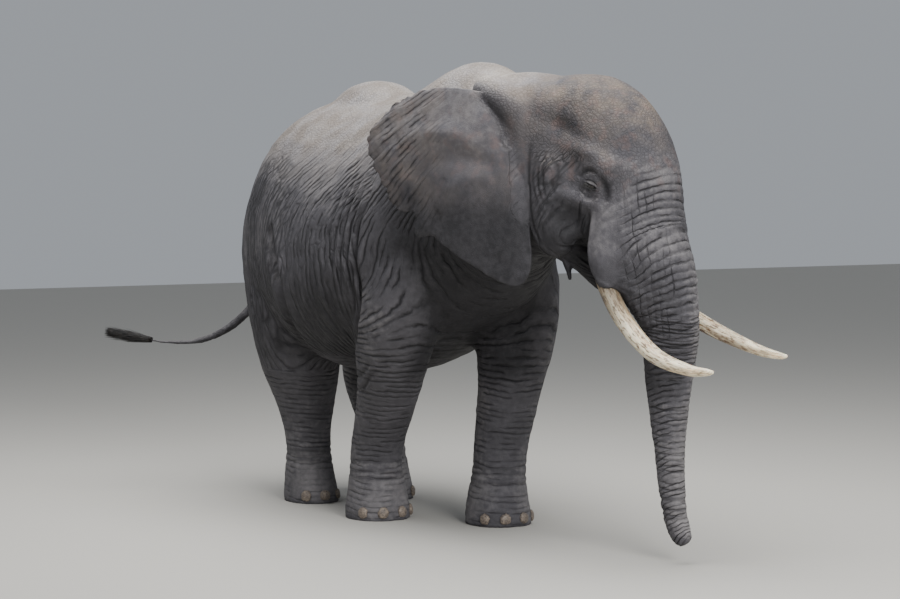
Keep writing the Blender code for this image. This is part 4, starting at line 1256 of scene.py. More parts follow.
    def facing(self, back: Array, up: Array, small: float = 0.01) -> Array:
        """The way out of the ear's middle surface, found from places a small way apart."""
        tangent = self.lay(back + small, up) - self.lay(back - small, up)
        rise = self.lay(back, up + small) - self.lay(back, up - small)
        normal = unit(np.cross(tangent, rise))
        return -normal if (normal[:, 0] * -self.side).mean() < 0.0 else normal


# ---------------------------------------------------------------- skin
class Side(Enum):
    """The elephant's two sides."""
    RIGHT = 1
    LEFT = -1

    @property
    def word(self) -> str:
        """The side's name as part names use it."""
        return self.name.lower()


LEGS = ("front_right", "front_left", "hind_right", "hind_left")
FLESH = ("torso", "neck", "head", "jaw", "trunk_upper", "trunk_middle", "trunk_lower", "tail_upper",
         "tail_lower", *(leg + "_leg" for leg in LEGS), *(leg + "_foot" for leg in LEGS))
EARS = (Ear(1, math.radians(40.0), math.radians(16.0)), Ear(-1, math.radians(34.0), math.radians(8.0)))
FLANK = Pattern(3, 0.085, 0.42, 0.007, shade=0.22)
HIP = Pattern(5, 0.07, 0.15, 0.0055, shade=0.18)
ARM = Pattern(7, 0.075, 0.34, 0.006, shade=0.2)
SHANK = Pattern(11, 0.07, 0.22, 0.0045, shade=0.18)
CHEEK = Pattern(19, 0.045, 0.075, 0.003, shade=0.25)
NAPE = Pattern(23, 0.06, 0.18, 0.0055, shade=0.25)

THIGH_GROOVE = ((-1.22, 2.06), (-1.12, 1.87), (-1.0, 1.62), (-1.0, 1.34), (-1.14, 1.12))
ARM_FOLDS = (
    # path as (forward, up), width, depth
    (((0.03, 2.24), (-0.04, 2.08), (-0.065, 1.84), (-0.085, 1.58), (-0.2, 1.36), (-0.36, 1.2)), 0.022, 0.022),
    (((-0.03, 2.36), (-0.09, 2.15), (-0.125, 1.9), (-0.145, 1.62), (-0.22, 1.44)), 0.017, 0.015),
    (((-0.08, 2.44), (-0.145, 2.24), (-0.185, 1.96), (-0.205, 1.66)), 0.017, 0.012),
    (((-0.15, 2.46), (-0.215, 2.24), (-0.255, 1.98), (-0.275, 1.7)), 0.016, 0.009),
    (((-0.24, 2.42), (-0.3, 2.2), (-0.335, 1.94)), 0.016, 0.007),
)
WRIST_FOLDS = (
    (((-0.62, 1.1), (-0.45, 1.03), (-0.25, 1.06), (-0.08, 1.16)), 0.013, 0.008),
    (((-0.66, 1.0), (-0.48, 0.93), (-0.28, 0.97), (-0.12, 1.06)), 0.012, 0.007),
    (((-0.34, 0.9), (-0.2, 1.02), (-0.05, 1.1)), 0.012, 0.007),
)


@dataclass(frozen=True)
class EarRoot:
    """The thick root in which an ear's upper edge is set, from the neck's top down to the cheek."""
    rows: tuple = (
        # ahead, aside, up, radius
        (-0.7, 0.3, 2.96, 0.07), (-0.52, 0.345, 2.985, 0.092), (-0.35, 0.362, 2.985, 0.104),
        (-0.2, 0.356, 2.955, 0.108), (-0.085, 0.342, 2.885, 0.108), (-0.015, 0.326, 2.78, 0.104),
        (0.02, 0.316, 2.655, 0.098), (0.035, 0.31, 2.515, 0.09), (0.038, 0.308, 2.375, 0.08),
        (0.038, 0.308, 2.24, 0.062),
    )
    lean: float = 0.55
    straight: float = 0.15
    end: float = 0.31
    shift: Triple = (0.06, -0.05, -0.055)
    thinned: float = 0.55

    def along(self, side: int) -> list[tuple[float, float, float, float]]:
        """The root's stations on one side: the right one is shorter and leans in to the turned neck."""
        if side < 0:
            return list(self.rows)
        ahead, aside, up, radius = self.rows[1]
        aside -= self.lean * (self.end - self.straight)
        end = (ahead + self.shift[0], aside + self.shift[1], up + self.shift[2], radius * self.thinned)
        return [end] + [(ahead, aside - self.lean * max(-self.straight - ahead, 0.0), up, radius)
                        for ahead, aside, up, radius in self.rows[2:]]


@dataclass(frozen=True)
class LipFlap:
    """The small hanging flap of skin at each corner of the mouth."""
    rows: tuple = (
        # ahead, aside, up, radius
        (0.17, 0.15, 2.0, 0.04), (0.19, 0.14, 1.92, 0.034), (0.212, 0.14, 1.84, 0.024),
        (0.232, 0.145, 1.77, 0.014),
    )


def add_tube(bm: bmesh.types.BMesh, rows: Sequence[Sequence[float]], side: int, sides: int = 20) -> None:
    """Adds a closed round tube to a mesh.

    Args:
        bm: The mesh to add to.
        rows: Its (ahead, aside, up, radius) stations in head places.
        side: 1 for the right side, -1 for the left.
        sides: Flat sides round it.
    """
    rows = curve([(ahead, aside * side, up, radius) for ahead, aside, up, radius in rows], 5)
    line = from_head(rows[:, :3])
    way = unit(np.gradient(line, axis=0))
    out = unit(np.cross(way, from_head(np.array((0.0, 1.0, 0.0)))[0] - from_head(np.zeros(3))[0]))
    other = np.cross(out, way)
    angles = np.arange(sides) * 2.0 * math.pi / sides
    rings = []
    for at, radius in enumerate(rows[:, 3]):
        ring = line[at] + (out[at] * np.cos(angles)[:, None] + other[at] * np.sin(angles)[:, None]) * radius
        rings.append([bm.verts.new(place) for place in ring])
    for low, high in zip(rings, rings[1:]):
        for turn in range(sides):
            nxt = (turn + 1) % sides
            bm.faces.new((low[turn], low[nxt], high[nxt], high[turn]))
    bm.faces.new(rings[0][::-1])
    bm.faces.new(rings[-1])


@dataclass
class HideMap:
    """Lays crease directions, crease depths and tones, with painted light and shade, over the finished
    skin, for its finish.
    """
    mesh: Mesh
    body_spacing: float = 0.05
    body_length: float = 0.2
    arm_spacing: float = 0.038
    arm_length: float = 0.22
    leg_length: float = 0.15
    cheek_spacing: float = 0.025
    cheek_length: float = 0.055
    ear_fan: float = 52.0
    ear_length: float = 0.16
    darkest: float = 0.13
    darkest_crease: float = 0.92

    def __post_init__(self) -> None:
        """Works out how far each point belongs to each part of the hide, 0 to 1."""
        points = points_of(self.mesh)
        self.body, self.head = to_body(points), to_head(points)
        self.facing = normals_of(self.mesh)[:, 2]
        forward, _, up = self.body.T
        ahead = self.head[:, 0]
        self.gap, self.back = root_gap(self.head), ear_back(self.head)
        self.ear = np.clip(read_value(self.mesh, "ear"), 0.0, 1.0) * step(self.gap, 0.1, 0.17)
        self.flesh = 1.0 - self.ear
        self.raised = step(up, 1.5, 1.6)
        self.on_head = step(ahead, -0.06, 0.16) * self.raised
        self.crown = step(ahead, -0.42, 0.4) * self.raised
        self.top = step(self.facing, 0.22, 0.66) * step(up, 2.2, 2.65)
        self.neck = step(ahead, -0.75, -0.5) * step(up, 2.5, 2.7) * (1.0 - self.on_head)
        self.trunk, self.arms = trunk_share(self.head), arm_share(self.body)
        bag = step(up, 2.24, 2.29) * step(up, 2.5, 2.44) * step(ahead, 0.3, 0.37)
        self.cheek = step(ahead, 0.03, 0.06) * (1.0 - self.trunk) * step(ahead, 0.5, 0.42)
        self.cheek *= step(up, 2.66, 2.54) * self.raised * (1.0 - 0.85 * bag)
        self.sheath = step(ahead, 0.44, 0.5) * step(up, 2.3, 2.2) * self.on_head * (1.0 - self.trunk)
        self.hip = step(forward, -0.7, -1.3) * (1.0 - step(up, 1.15, 0.95))

    def write(self) -> None:
        """Stores every value that the hide's finish reads."""
        self.flows()
        self.depths()
        self.tones()

    def flows(self) -> None:
        """Stores plate numbers along and across the creases of body, arms and trunk."""
        forward, right, up = self.body.T
        ahead, aside, _ = self.head.T
        turn = 1.0 - 2.0 * step(forward, -1.5, 0.4)
        along, _ = flank_axes(forward, up)
        _, across = flank_axes(forward + (np.abs(right) - 0.78) * turn, up)
        length = self.body_length * (1.0 - 0.55 * step(forward, -0.95, -1.45) * step(up, 2.0, 2.3))
        flow = stack(across / self.body_spacing, along / length, right / self.body_length)
        cheek = stack(cheek_bow(ahead, up) / self.cheek_spacing, up / self.cheek_length,
                      aside / self.cheek_length)
        angle, reach = fan_axes(self.back, up)
        fan = stack(angle * self.ear_fan, reach / self.ear_length, 0.0)
        for place, plates in ((step(ahead, 0.03, 0.05) > 0.5, cheek), (self.ear > 0.5, fan)):
            flow[place] = plates[place]
        write_vector(self.mesh, "body_flow", flow)
        along, across = arm_axes(forward, up)
        length = self.leg_length + (self.arm_length - self.leg_length) * step(up, 0.6, 1.1)
        write_vector(self.mesh, "arm_flow", stack(across / self.arm_spacing, along / length, right / length))
        rings, lanes, reach, angle = TrunkMap().read(self.head)
        lengthwise = (1.0 - 0.85 * step(reach, 0.9, 1.7)) * step(np.abs(angle), 0.2, 0.65)
        write_values(self.mesh, lanes=lengthwise)
        write_vector(self.mesh, "trunk_flow", stack(rings, lanes, 0.0))

    def depths(self) -> None:
        """Stores how deep creases, rings and pebbles are, and how fine the net of creases is."""
        forward, _, up = self.body.T
        bare = np.maximum(self.top, self.neck)
        furrow = (1.0 - self.on_head) * (1.0 - 0.8 * bare) * (1.0 - 0.25 * step(up, 0.5, 0.2))
        furrow = np.maximum(furrow, self.cheek) * (1.0 - valley(self.head[:, 0] - 0.04, 0.022) * self.raised)
        furrow *= (1.0 - 0.6 * step(forward, -2.28, -2.36)) * (1.0 - 0.45 * step(up, 1.15, 0.75))
        furrow *= 0.1 + 0.9 * step(self.gap, 0.07, 0.17)
        face = self.on_head * (1.0 - self.cheek) * (1.0 - 0.8 * self.sheath)
        pebble = np.maximum(bare, face) * (1.0 - 0.6 * self.trunk)
        net = np.clip(0.35 + 0.5 * self.hip + 0.65 * self.cheek - 0.15 * self.arms, 0.0, 1.0)
        fan = step(self.back, 0.5, 0.95) * step(up, 1.98, 2.15)
        write_values(self.mesh, arm=np.where(self.ear > 0.5, 0.0, self.arms), net=net * self.flesh,
                     furrow=furrow * self.flesh + self.ear * fan * 0.75, trunk=self.trunk * self.flesh,
                     pebble=pebble * self.flesh + self.ear * 0.12)

    def tones(self) -> None:
        """Stores where the hide is pale, tan, rosy or dark, with painted light and shade.

        The upper parts and the legs get painted light; the cheek hollow, the cheeks, the body behind the
        ears, the chest and the underside get painted shade, and so do the creases and the eyes' slits.
        """
        forward, right, up = self.body.T
        outside = step(np.abs(right), 0.3, 0.55)
        # painted shade in the hollow of the cheek
        cheek_hollow_shade = np.exp(-((self.head[:, 0] - 0.36) / 0.12) ** 2 - ((up - 2.1) / 0.17) ** 2)
        # painted shade on the body behind the ears
        shade_behind_ear = step(forward, 0.05, 0.3) * step(up, 2.5, 2.25) * step(up, 1.65, 1.95)
        shares = (
            # painted light: paler where the hide faces up, and higher up
            (0.26, step(self.facing, -0.5, 0.9)),
            (0.18, step(up, 1.3, 2.8)),
            (0.12, self.neck * (1.0 - self.crown)),
            # painted light: paler outer forelegs and lower legs
            (0.23, step(up, 1.95, 1.35) * np.maximum(self.arms * outside, step(up, 1.15, 0.95))),
            # paler top: dust, and painted light from above
            (0.26, self.top * (1.0 - self.crown)),
            (-0.24, self.crown * step(up, 2.45, 2.75)),
            (0.13, np.maximum(self.trunk * step(up, 2.3, 1.7), self.sheath)),
            (0.04, self.trunk),
            # painted shade in the cheek hollow and on the cheeks
            (-0.28, cheek_hollow_shade * self.on_head * (1.0 - self.sheath)),
            (-0.07, self.cheek),
            (0.15, self.hip * step(up, 2.3, 1.9)),
            # painted shade behind the ears, on the chest under the head and on the underside
            (-0.13, shade_behind_ear * (1.0 - self.on_head)),
            (-0.17, step(up, 2.0, 1.8) * step(np.abs(right), 0.45, 0.25) * step(forward, 0.0, 0.3)),
            (-0.1, step(self.facing, -0.15, -0.65) * (1.0 - self.on_head)),
        )
        tone_with_painted_light = self.darkest + sum(amount * share for amount, share in shares)
        ear_tone = 0.08 + 0.38 * step(up, 2.08, 2.82)
        write_value(self.mesh, "tone_with_painted_light", tone_with_painted_light * self.flesh + self.ear * ear_tone)
        tan = (0.6 * self.top + 0.4 * self.crown * step(up, 2.35, 2.9)) * self.flesh
        tan += self.ear * (0.16 + 0.22 * step(self.back, 0.45, 0.95)) * step(up, 2.1, 2.45)
        rosy = self.ear * 0.22 * step(up, 2.2, 2.6) + 0.3 * self.crown * step(up, 2.2, 2.5)
        # painted shade in the creases and round the eyes, kept below the darkest
        crease = np.maximum(read_value(self.mesh, "crease"), read_value(self.mesh, "wet"))
        write_values(self.mesh, tan=tan, rosy=rosy, crease=np.minimum(crease, self.darkest_crease))


def root_gap(head: Array) -> Array:
    """Distance of points in head places from the middle line of the nearer ear root."""
    lines = [curve(EarRoot().along(side), 3)[:, :3] * (1.0, side, 1.0) for side in (1, -1)]
    return np.minimum(*(distance_to(head, line)[0] for line in lines))


def trunk_share(head: Array) -> Array:
    """How far each point in head places belongs to the trunk, 0 to 1.

    The trunk's skin starts in front of the eyes and of the tusk sheaths.
    """
    ahead, aside, up = head.T
    edge = np.interp(up, (1.5, 1.7, 1.95, 2.35, 2.5, 2.62), (0.55, 0.74, 0.715, 0.7, 0.78, 1.1))
    spread = 0.35 * np.maximum(0.3 - np.abs(aside), 0.0) * step(up, 2.3, 2.5)
    share = step(ahead - edge - spread, -0.07, 0.1) * step(up, 2.56, 2.36)
    return np.maximum(share, step(up, 1.62, 1.54) * step(ahead, 0.4, 0.5))


def arm_share(body: Array) -> Array:
    """How far each point in body places belongs to a foreleg, shoulder or lower leg, 0 to 1."""
    forward, _, up = body.T
    rear = np.interp(up, (1.15, 1.36, 1.58, 1.84, 2.08, 2.3), (-0.42, -0.2, -0.085, -0.065, -0.04, 0.04))
    arm = step(forward - rear, -0.03, 0.03) * step(up, 2.7, 2.35)
    legs = step(up, 1.06, 0.94)
    front = step(forward, -1.05, -0.95) * step(up, 1.2, 1.1)
    return np.maximum(arm, np.maximum(legs, front))


def ease_weights(points: Array) -> Array:
    """How far each point is eased: less at trunk, tail, soles, tusk sockets, jaw and lip flaps."""
    head = to_head(points)
    ahead, aside, up = head.T
    ease = 1.0 - step(ahead, 0.45, 0.6) * step(up, 1.9, 1.5) * 0.55
    ease *= 1.0 - 0.8 * step(to_body(points)[:, 0], -2.25, -2.35)
    ease *= 1.0 - 0.85 * step(up, 0.1, 0.03)
    sockets = [np.linalg.norm(head - np.array((0.62, 0.265 * side, 1.7)), axis=1) for side in (1, -1)]
    socket = step(np.minimum(*sockets), 0.16, 0.09)
    flap = step(up, 1.94, 1.88) * step(np.abs(ahead - 0.2), 0.07, 0.04)
    ease *= 1.0 - 0.85 * flap * step(np.abs(aside), 0.08, 0.11)
    jaw = step(up, 2.0, 1.9) * step(ahead, 0.46, 0.42) * step(np.abs(aside), 0.3, 0.2)
    return ease * (1.0 - 0.8 * np.maximum(socket, jaw * step(ahead, -0.2, 0.0)))


@dataclass
class Skin:
    """The one skin over all of the flesh, with its folds, lids and ears."""
    voxel: float = 0.0115
    ease_rounds: int = 26
    melt_rounds: int = 60
    root_rounds: int = 10
    sole_height: float = 0.012
    sole_press: float = 0.004
    triangles: int = 197000
    eye_reach: float = 0.115
    lid: float = 0.0075
    slit_half: float = 0.043
    upper_rise: float = 0.015
    lower_drop: float = 0.0095
    slit_slope: float = math.radians(24.0)
    frames: dict = field(default_factory=dict)

    def build(self) -> Object:
        """Makes the skin from its base shape to its colours.

        Returns:
            The finished skin.
        """
        skin = self.base()
        LOG.info("skin base: %d faces", len(skin.data.polygons))
        self.refine(skin)
        self.sculpt(skin)
        LOG.info("skin sculpted: %d faces", len(skin.data.polygons))
        for ear in EARS:
            self.add_ear(skin, ear)
        self.thin(skin)
        HideMap(skin.data).write()
        shade_smooth(skin.data)
        dress(skin, HideFinish().make())
        LOG.info("skin finished: %d faces", len(skin.data.polygons))
        return skin

    def base(self) -> Object:
        """Welds the nodes of flesh into one even mesh and eases their flat faces away."""
        skin = nodes_as_mesh(FLESH + ("eye_right", "eye_left"), "elephant_skin")
        bm = bmesh.new()
        bm.from_mesh(skin.data)
        for side in Side:
            add_tube(bm, EarRoot().along(side.value), side.value)
            add_tube(bm, LipFlap().rows, side.value)
        bm.to_mesh(skin.data)
        bm.free()
        apply(skin, "REMESH", mode="VOXEL", voxel_size=self.voxel)
        points = points_of(skin.data)
        ease_group(skin, ease_weights(points), self.ease_rounds)
        ahead, _, up = to_head(points).T
        ease_group(skin, step(ahead, -0.75, -0.55) * step(ahead, 0.26, 0.12) * step(up, 2.15, 2.4),
                   self.melt_rounds)
        points = points_of(skin.data)
        sole = points[:, 2] < self.sole_height
        points[sole, 2] = np.maximum(points[sole, 2] - self.sole_press, 0.0)
        place_points(skin.data, points)
        return skin

    def eye_frame(self, side: Side, points: Array, normals: Array) -> tuple[Array, Array]:
        """The middle of an eyeball and the axes of its lids.

        Args:
            side: Which eye.
            points: The skin's places.
            normals: The skin's normals.
        Returns:
            The middle, and a 3 by 3 array of rows: along the slit, up across it, and out.
        """
        low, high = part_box("eye_" + side.word)
        middle = np.array((low + high) / 2.0)
        near = np.linalg.norm(points - middle, axis=1) < 0.12
        out = unit(normals[near].mean(axis=0))
        ahead = (from_head(np.array((1.0, 0.0, 0.0))) - from_head(np.zeros(3)))[0]
        along = ahead * math.cos(self.slit_slope) - np.array((0.0, 0.0, 1.0)) * math.sin(self.slit_slope)
        along = unit(along - out * (along @ out))
        across = np.cross(out, along)
        if across[2] < 0.0:
            across = -across
        return middle, np.array((along, across, out))

    def refine(self, skin: Object) -> None:
        """Makes the mesh finer round the eyes, in two goes."""
        middles = [sum(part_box("eye_" + side.word), Vector()) / 2.0 for side in Side]
        for reach in (self.eye_reach, self.eye_reach * 0.62):
            bm = bmesh.new()
            bm.from_mesh(skin.data)
            chosen = {vert for vert in bm.verts
                      if min((vert.co - middle).length for middle in middles) < reach}
            edges = [edge for edge in bm.edges if chosen.issuperset(edge.verts)]
            bmesh.ops.subdivide_edges(bm, edges=edges, cuts=1, use_grid_fill=True, smooth=0.0)
            bmesh.ops.triangulate(bm, faces=[face for face in bm.faces if len(face.verts) > 4])
            bm.to_mesh(skin.data)
            bm.free()

    def sculpt(self, skin: Object) -> None:
        """Raises and sinks the skin into folds, plates, rings and lids."""
        mesh = skin.data
        relief = Relief(points_of(mesh), normals_of(mesh))
        for swell, side in itertools.product(SWELLS, Side):
            relief.draw_swell(swell, side.value)
        relief.wrinkle_body()
        relief.wrinkle_head()
        relief.ring_trunk()
        for fold, side in itertools.product(FOLDS, Side):
            relief.draw_fold(fold, side.value)
        calm = step(relief.points[:, 2], 0.004, 0.03)
        calm *= 1.0 - 0.75 * step(relief.body[:, 0], -2.28, -2.4)
        points = relief.points + relief.normals * (relief.height * calm)[:, None]
        points[:, 2] = np.maximum(points[:, 2], 0.0)
        wet = np.zeros(len(points))
        self.frames = {side: self.eye_frame(side, points, relief.normals) for side in Side}
        for side in Side:
            points, dark = self.open_lids(side, points)
            wet = np.maximum(wet, dark)
        place_points(mesh, points)
        write_values(mesh, crease=relief.crease, wet=wet)

    def open_lids(self, side: Side, points: Array) -> tuple[Array, Array]:
        """Shapes the lids round one eyeball and opens the slit between them.

        Args:
            side: Which eye.
            points: The skin's places.
        Returns:
            The new places, and how dark each point's painted shade is: in the slit, in the lid creases and in
            a darker ring round the eye.
        """
        middle, axes = self.frames[side]
        low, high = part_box("eye_" + side.word)
        radius = (high.z - low.z) / 2.0
        along, across, out = ((points - middle) @ axes.T).T
        flat = np.hypot(along, across)
        near = (flat < 0.11) & (out > -0.06)
        ball = radius + self.lid
        dome = np.sqrt(np.clip(ball ** 2 - flat ** 2, 0.0, None))
        base = np.minimum(out, radius * 0.45 + 0.004)
        lids = np.where(flat < ball, np.maximum(dome, base), base)
        share = np.clip(1.0 - (along / self.slit_half) ** 2, 0.0, 1.0)
        over = across - self.upper_rise * share ** 0.65
        under = -self.lower_drop * share ** 0.9 - across
        inside = np.minimum(-over, -under)
        inside = np.where(np.abs(along) < self.slit_half, inside, -0.02)
        reach = step(np.abs(along), 0.06, 0.035)
        rolls = 0.0045 * valley(over - 0.006, 0.006) * (over > -0.002)
        rolls += 0.0035 * valley(under - 0.006, 0.006) * (under > -0.002)
        rolls -= 0.005 * valley(over - 0.0165, 0.0045) + 0.004 * valley(under - 0.017, 0.005)
        opened = step(inside, -0.0012, 0.0022)
        bare = dome - self.lid - 0.006
        final = (lids + rolls * reach) * (1.0 - opened) + bare * opened
        blend = step(flat, 0.105, 0.07) * near
        lines = valley(over - 0.0165, 0.004) + valley(under - 0.017, 0.0035)
        # painted shade inside the slit and in the lid creases, and a darker ring round the eye
        dark = np.maximum(step(inside, -0.01, 0.0), lines * reach * 0.75)
        dark = np.maximum(dark, 0.48 * valley(flat, 0.055)) * near
        return points + axes[2] * (blend * (final - out))[:, None], dark

    def add_ear(self, skin: Object, ear: Ear) -> None:
        """Joins an ear's leaf to the skin."""
        leaf = ear.build()
        plain = np.zeros(len(leaf.data.vertices))
        write_values(leaf.data, crease=plain, wet=plain, ear=plain + 1.0)
        if "ear" not in skin.data.attributes:
            write_value(skin.data, "ear", np.zeros(len(skin.data.vertices)))
        apply(skin, "BOOLEAN", operation="UNION", solver="MANIFOLD", object=leaf)
        bpy.data.objects.remove(leaf)
        head = to_head(points_of(skin.data))
        root = step(root_gap(head), 0.17, 0.12) * step(head[:, 1] * ear.side, 0.22, 0.3)
        ease_group(skin, root, self.root_rounds)

    def thin(self, skin: Object) -> None:
        """Collapses the skin's flattest parts until it is under its count of triangles."""
        pick(skin)
        bpy.ops.object.mode_set(mode="EDIT")
        bpy.ops.mesh.select_all(action="SELECT")
        bpy.ops.mesh.quads_convert_to_tris()
        bpy.ops.object.mode_set(mode="OBJECT")
        head = to_head(points_of(skin.data))
        plain = 1.0 - 0.85 * step(head[:, 0], -0.1, 0.1) * step(head[:, 2], 1.2, 1.5)
        grade_group(skin, "plain", plain)
        ratio = min(1.0, self.triangles / len(skin.data.polygons))
        apply(skin, "DECIMATE", ratio=ratio, vertex_group="plain", vertex_group_factor=1.0)
        skin.vertex_groups.clear()


# ---------------------------------------------------------------- eyes, tusks, nails
@dataclass(frozen=True)
class Eye:
    """An eyeball with a clear bulge over its iris."""
    side: Side
    segments: int = 64
    rings: int = 48
    bulge: float = 0.0022

    def build(self, out: Array) -> Object:
        """Models the eyeball in its socket.

        Args:
            out: The way the eye looks.
        Returns:
            The finished eye.
        """
        name = "eye_" + self.side.word
        low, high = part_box(name)
        middle = (low + high) / 2.0
        radius = (high.z - low.z) / 2.0
        bpy.ops.object.select_all(action="DESELECT")
        bpy.ops.mesh.primitive_uv_sphere_add(segments=self.segments, ring_count=self.rings,
                                             radius=radius - 0.0005)
        ball = bpy.context.active_object
        ball.name = "eyeball_" + self.side.word
        turn = Vector(out).to_track_quat("Z", "Y").to_matrix().to_4x4()
        points = points_of(ball.data)
        off = np.degrees(np.arccos(np.clip(points[:, 2] / (radius - 0.0005), -1.0, 1.0))) / 60.0
        points *= (1.0 + self.bulge / radius * np.clip(1.0 - (off / 0.62) ** 2, 0.0, 1.0))[:, None]
        place_points(ball.data, points)
        write_value(ball.data, "off_axis", off)
        ball.data.transform(Matrix.Translation(middle) @ turn)
        shade_smooth(ball.data)
        dress(ball, EyeFinish().make())
        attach(ball, ROOT)
        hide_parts(name)
        return ball


@dataclass(frozen=True)
class Tusk:
    """One tusk: a long tapering curve of ivory, worn at its tip."""
    side: Side
    lift: float
    radius: float = 0.059
    sides: int = 48
    steps: int = 14

    def rows(self) -> Array:
        """Middle line and radius along the tusk, as (ahead, aside, up, radius) rows."""
        beads = (
            # ahead, aside, up, share of the radius, share of the lift
            (0.5, 0.235, 1.93, 0.96, 0.0), (0.596, 0.258, 1.73, 1.0, 0.3),
            (0.752, 0.295, 1.525, 0.97, 0.66), (1.0, 0.35, 1.34, 0.86, 1.0),
            (1.27, 0.408, 1.268, 0.62, 0.64), (1.42, 0.438, 1.262, 0.4, 0.38),
            (1.475, 0.448, 1.266, 0.18, 0.32),
        )
        return curve([(ahead, aside * self.side.value, up + self.lift * lift, self.radius * thick)
                      for ahead, aside, up, thick, lift in beads], self.steps)

    def build(self) -> Object:
        """Models the tusk.

        Returns:
            The finished tusk.
        """
        rows = self.rows()
        line, radii = from_head(rows[:, :3]), rows[:, 3]
        way = unit(np.gradient(line, axis=0))
        across = unit(np.cross(way, np.array((0.0, 0.0, 1.0))))
        other = np.cross(across, way)
        grain = Grain(53 + self.side.value)
        count, along = len(rows), run_of(line)
        angles = np.arange(self.sides) * 2.0 * math.pi / self.sides
        cos, sin = np.cos(angles), np.sin(angles)
        points = []
        for at in range(count):
            ring = stack(cos, sin, along[at] * 3.0)
            ripple = 1.0 + 0.016 * grain.smooth(ring * (2.5, 2.5, 1.0))
            ripple += 0.007 * grain.smooth(ring * (7.0, 7.0, 2.0))
            spread = radii[at] * 0.992 * np.minimum(ripple, 1.0)
            ring = np.outer(cos * spread, across[at]) + np.outer(sin * spread, other[at])
            points.append(line[at] + ring)
        points += [line[[0]], line[[-1]] + way[[-1]] * radii[-1] * 0.6]
        flat = np.vstack(points)
        butt, tip = len(flat) - 2, len(flat) - 1
        last = (count - 1) * self.sides
        faces = ring_faces(count, self.sides)
        faces += [((turn + 1) % self.sides, turn, butt) for turn in range(self.sides)]
        faces += [(last + turn, last + (turn + 1) % self.sides, tip) for turn in range(self.sides)]
        mesh = bpy.data.meshes.new("ivory_" + self.side.word)
        mesh.from_pydata(flat.tolist(), [], faces)
        tusk = new_object("ivory_" + self.side.word, mesh)
        face_out(tusk)
        length = np.append(np.repeat(along, self.sides), (0.0, along[-1]))
        for name, turned in (("round_x", cos), ("round_y", sin)):
            write_value(mesh, name, np.append(np.outer(radii, turned), (0.0, 0.0)))
        write_value(mesh, "along", length)
        write_value(mesh, "root", 0.7 * step(length, 0.62, 0.3))
        under = step(normals_of(mesh)[:, 2], 0.5, -0.6)
        heavy = 1.0 if self.side is Side.LEFT else 0.45
        write_value(mesh, "stain", heavy * (0.35 + 0.65 * under) * step(length, 1.5, 0.6))
        write_value(mesh, "fleck", (0.25 + 0.75 * step(length, 1.3, 0.7)) * step(length, 1.62, 1.5))
        shade_smooth(mesh)
        dress(tusk, IvoryFinish().make())
        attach(tusk, ROOT)
        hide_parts("tusk_" + self.side.word)
        return tusk


@dataclass(frozen=True)
class Nails:
    """The toenails of one foot: broad shields of horn set in its front edge."""
    leg: str
    toes: int
    voxel: float = 0.0045
    swell: float = 0.008
    stretch: float = 1.25
    worn: float = 0.006
    ridge: float = 0.0012
    ridge_scale: Triple = (20.0, 20.0, 120.0)

    def build(self, finish: Material) -> None:
        """Models each nail from its node, rounded and ridged.

        Args:
            finish: The horn.
        """
        for toe in range(1, self.toes + 1):
            node = "%s_nail_%d" % (self.leg, toe)
            nail = nodes_as_mesh((node,), node.replace("nail", "toenail"))
            apply(nail, "REMESH", mode="VOXEL", voxel_size=self.voxel)
            apply(nail, "SMOOTH", factor=0.5, iterations=6)
            mesh = nail.data
            points, normals = points_of(mesh), normals_of(mesh)
            grain = Grain(61 + toe)
            swell = self.swell + self.ridge * grain.smooth(points * self.ridge_scale)
            middle = points.mean(axis=0)
            points = middle + (points - middle) * (1.0, 1.0, self.stretch) + normals * swell[:, None]
            points[:, 2] = np.maximum(points[:, 2], points[:, 2].min() + self.worn)
            place_points(mesh, points)
            shade_smooth(mesh)
            dress(nail, finish)
            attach(nail, ROOT)
            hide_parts(node)


# ---------------------------------------------------------------- hair
@dataclass(frozen=True)
class Strand:
    """A hair or lock: where it grows, which way, how long and how thick."""
    root: Array
    way: Array
    droop: Array
    length: float
    radius: float
    patch: tuple[float, float]


HAIR_ANGLES = (0.0, 2.094, 4.189)  # where the three sides of a hair meet
PATCH_HALF = 0.0015  # half the width of a hair's patch


def weave(name: str, strands: Sequence[Strand], segments: int, finish: Material) -> Object:
    """Makes three-sided tapering hairs as one mesh, with a small OFBake patch each.

    Args:
        name: The new object's name.
        strands: The hairs.
        segments: Lengths in each hair.
        finish: The hair's material.
    Returns:
        The new object.
    """
    points, faces, patches = [], [], []
    turn = np.array([(math.cos(angle), math.sin(angle)) for angle in HAIR_ANGLES])
    for strand in strands:
        start = len(points)
        side = unit(np.cross(strand.way, (0.31, 0.17, 0.93)))
        other = np.cross(strand.way, side)
        for at in range(segments):
            share = at / segments
            middle = strand.root + (strand.way * share + strand.droop * share ** 2) * strand.length
            width = strand.radius * (1.0 - 0.75 * share)
            points += [middle + (side * c + other * s) * width for c, s in turn]
        points.append(strand.root + strand.way * strand.length + strand.droop * strand.length)
        made = [(start, start + 2, start + 1)]
        for at in range(segments - 1):
            low = start + at * 3
            made += [(low + k, low + (k + 1) % 3, low + 3 + (k + 1) % 3, low + 3 + k) for k in range(3)]
        last, tip = start + (segments - 1) * 3, len(points) - 1
        made += [(last + k, last + (k + 1) % 3, tip) for k in range(3)]
        faces += made
        patches += [strand.patch] * len(made)
    mesh = bpy.data.meshes.new(name)
    mesh.from_pydata([tuple(point) for point in points], [], faces)
    layer = mesh.uv_layers.new(name="OFBake")
    corners = np.array(((-1, -1), (1, -1), (1, 1), (-1, 1))) * PATCH_HALF
    for polygon, patch in zip(mesh.polygons, patches):
        for corner, loop in zip(corners, polygon.loop_indices):
            layer.data[loop].uv = corner + patch
    shade_smooth(mesh)
    item = new_object(name, mesh)
    dress(item, finish)
    return item


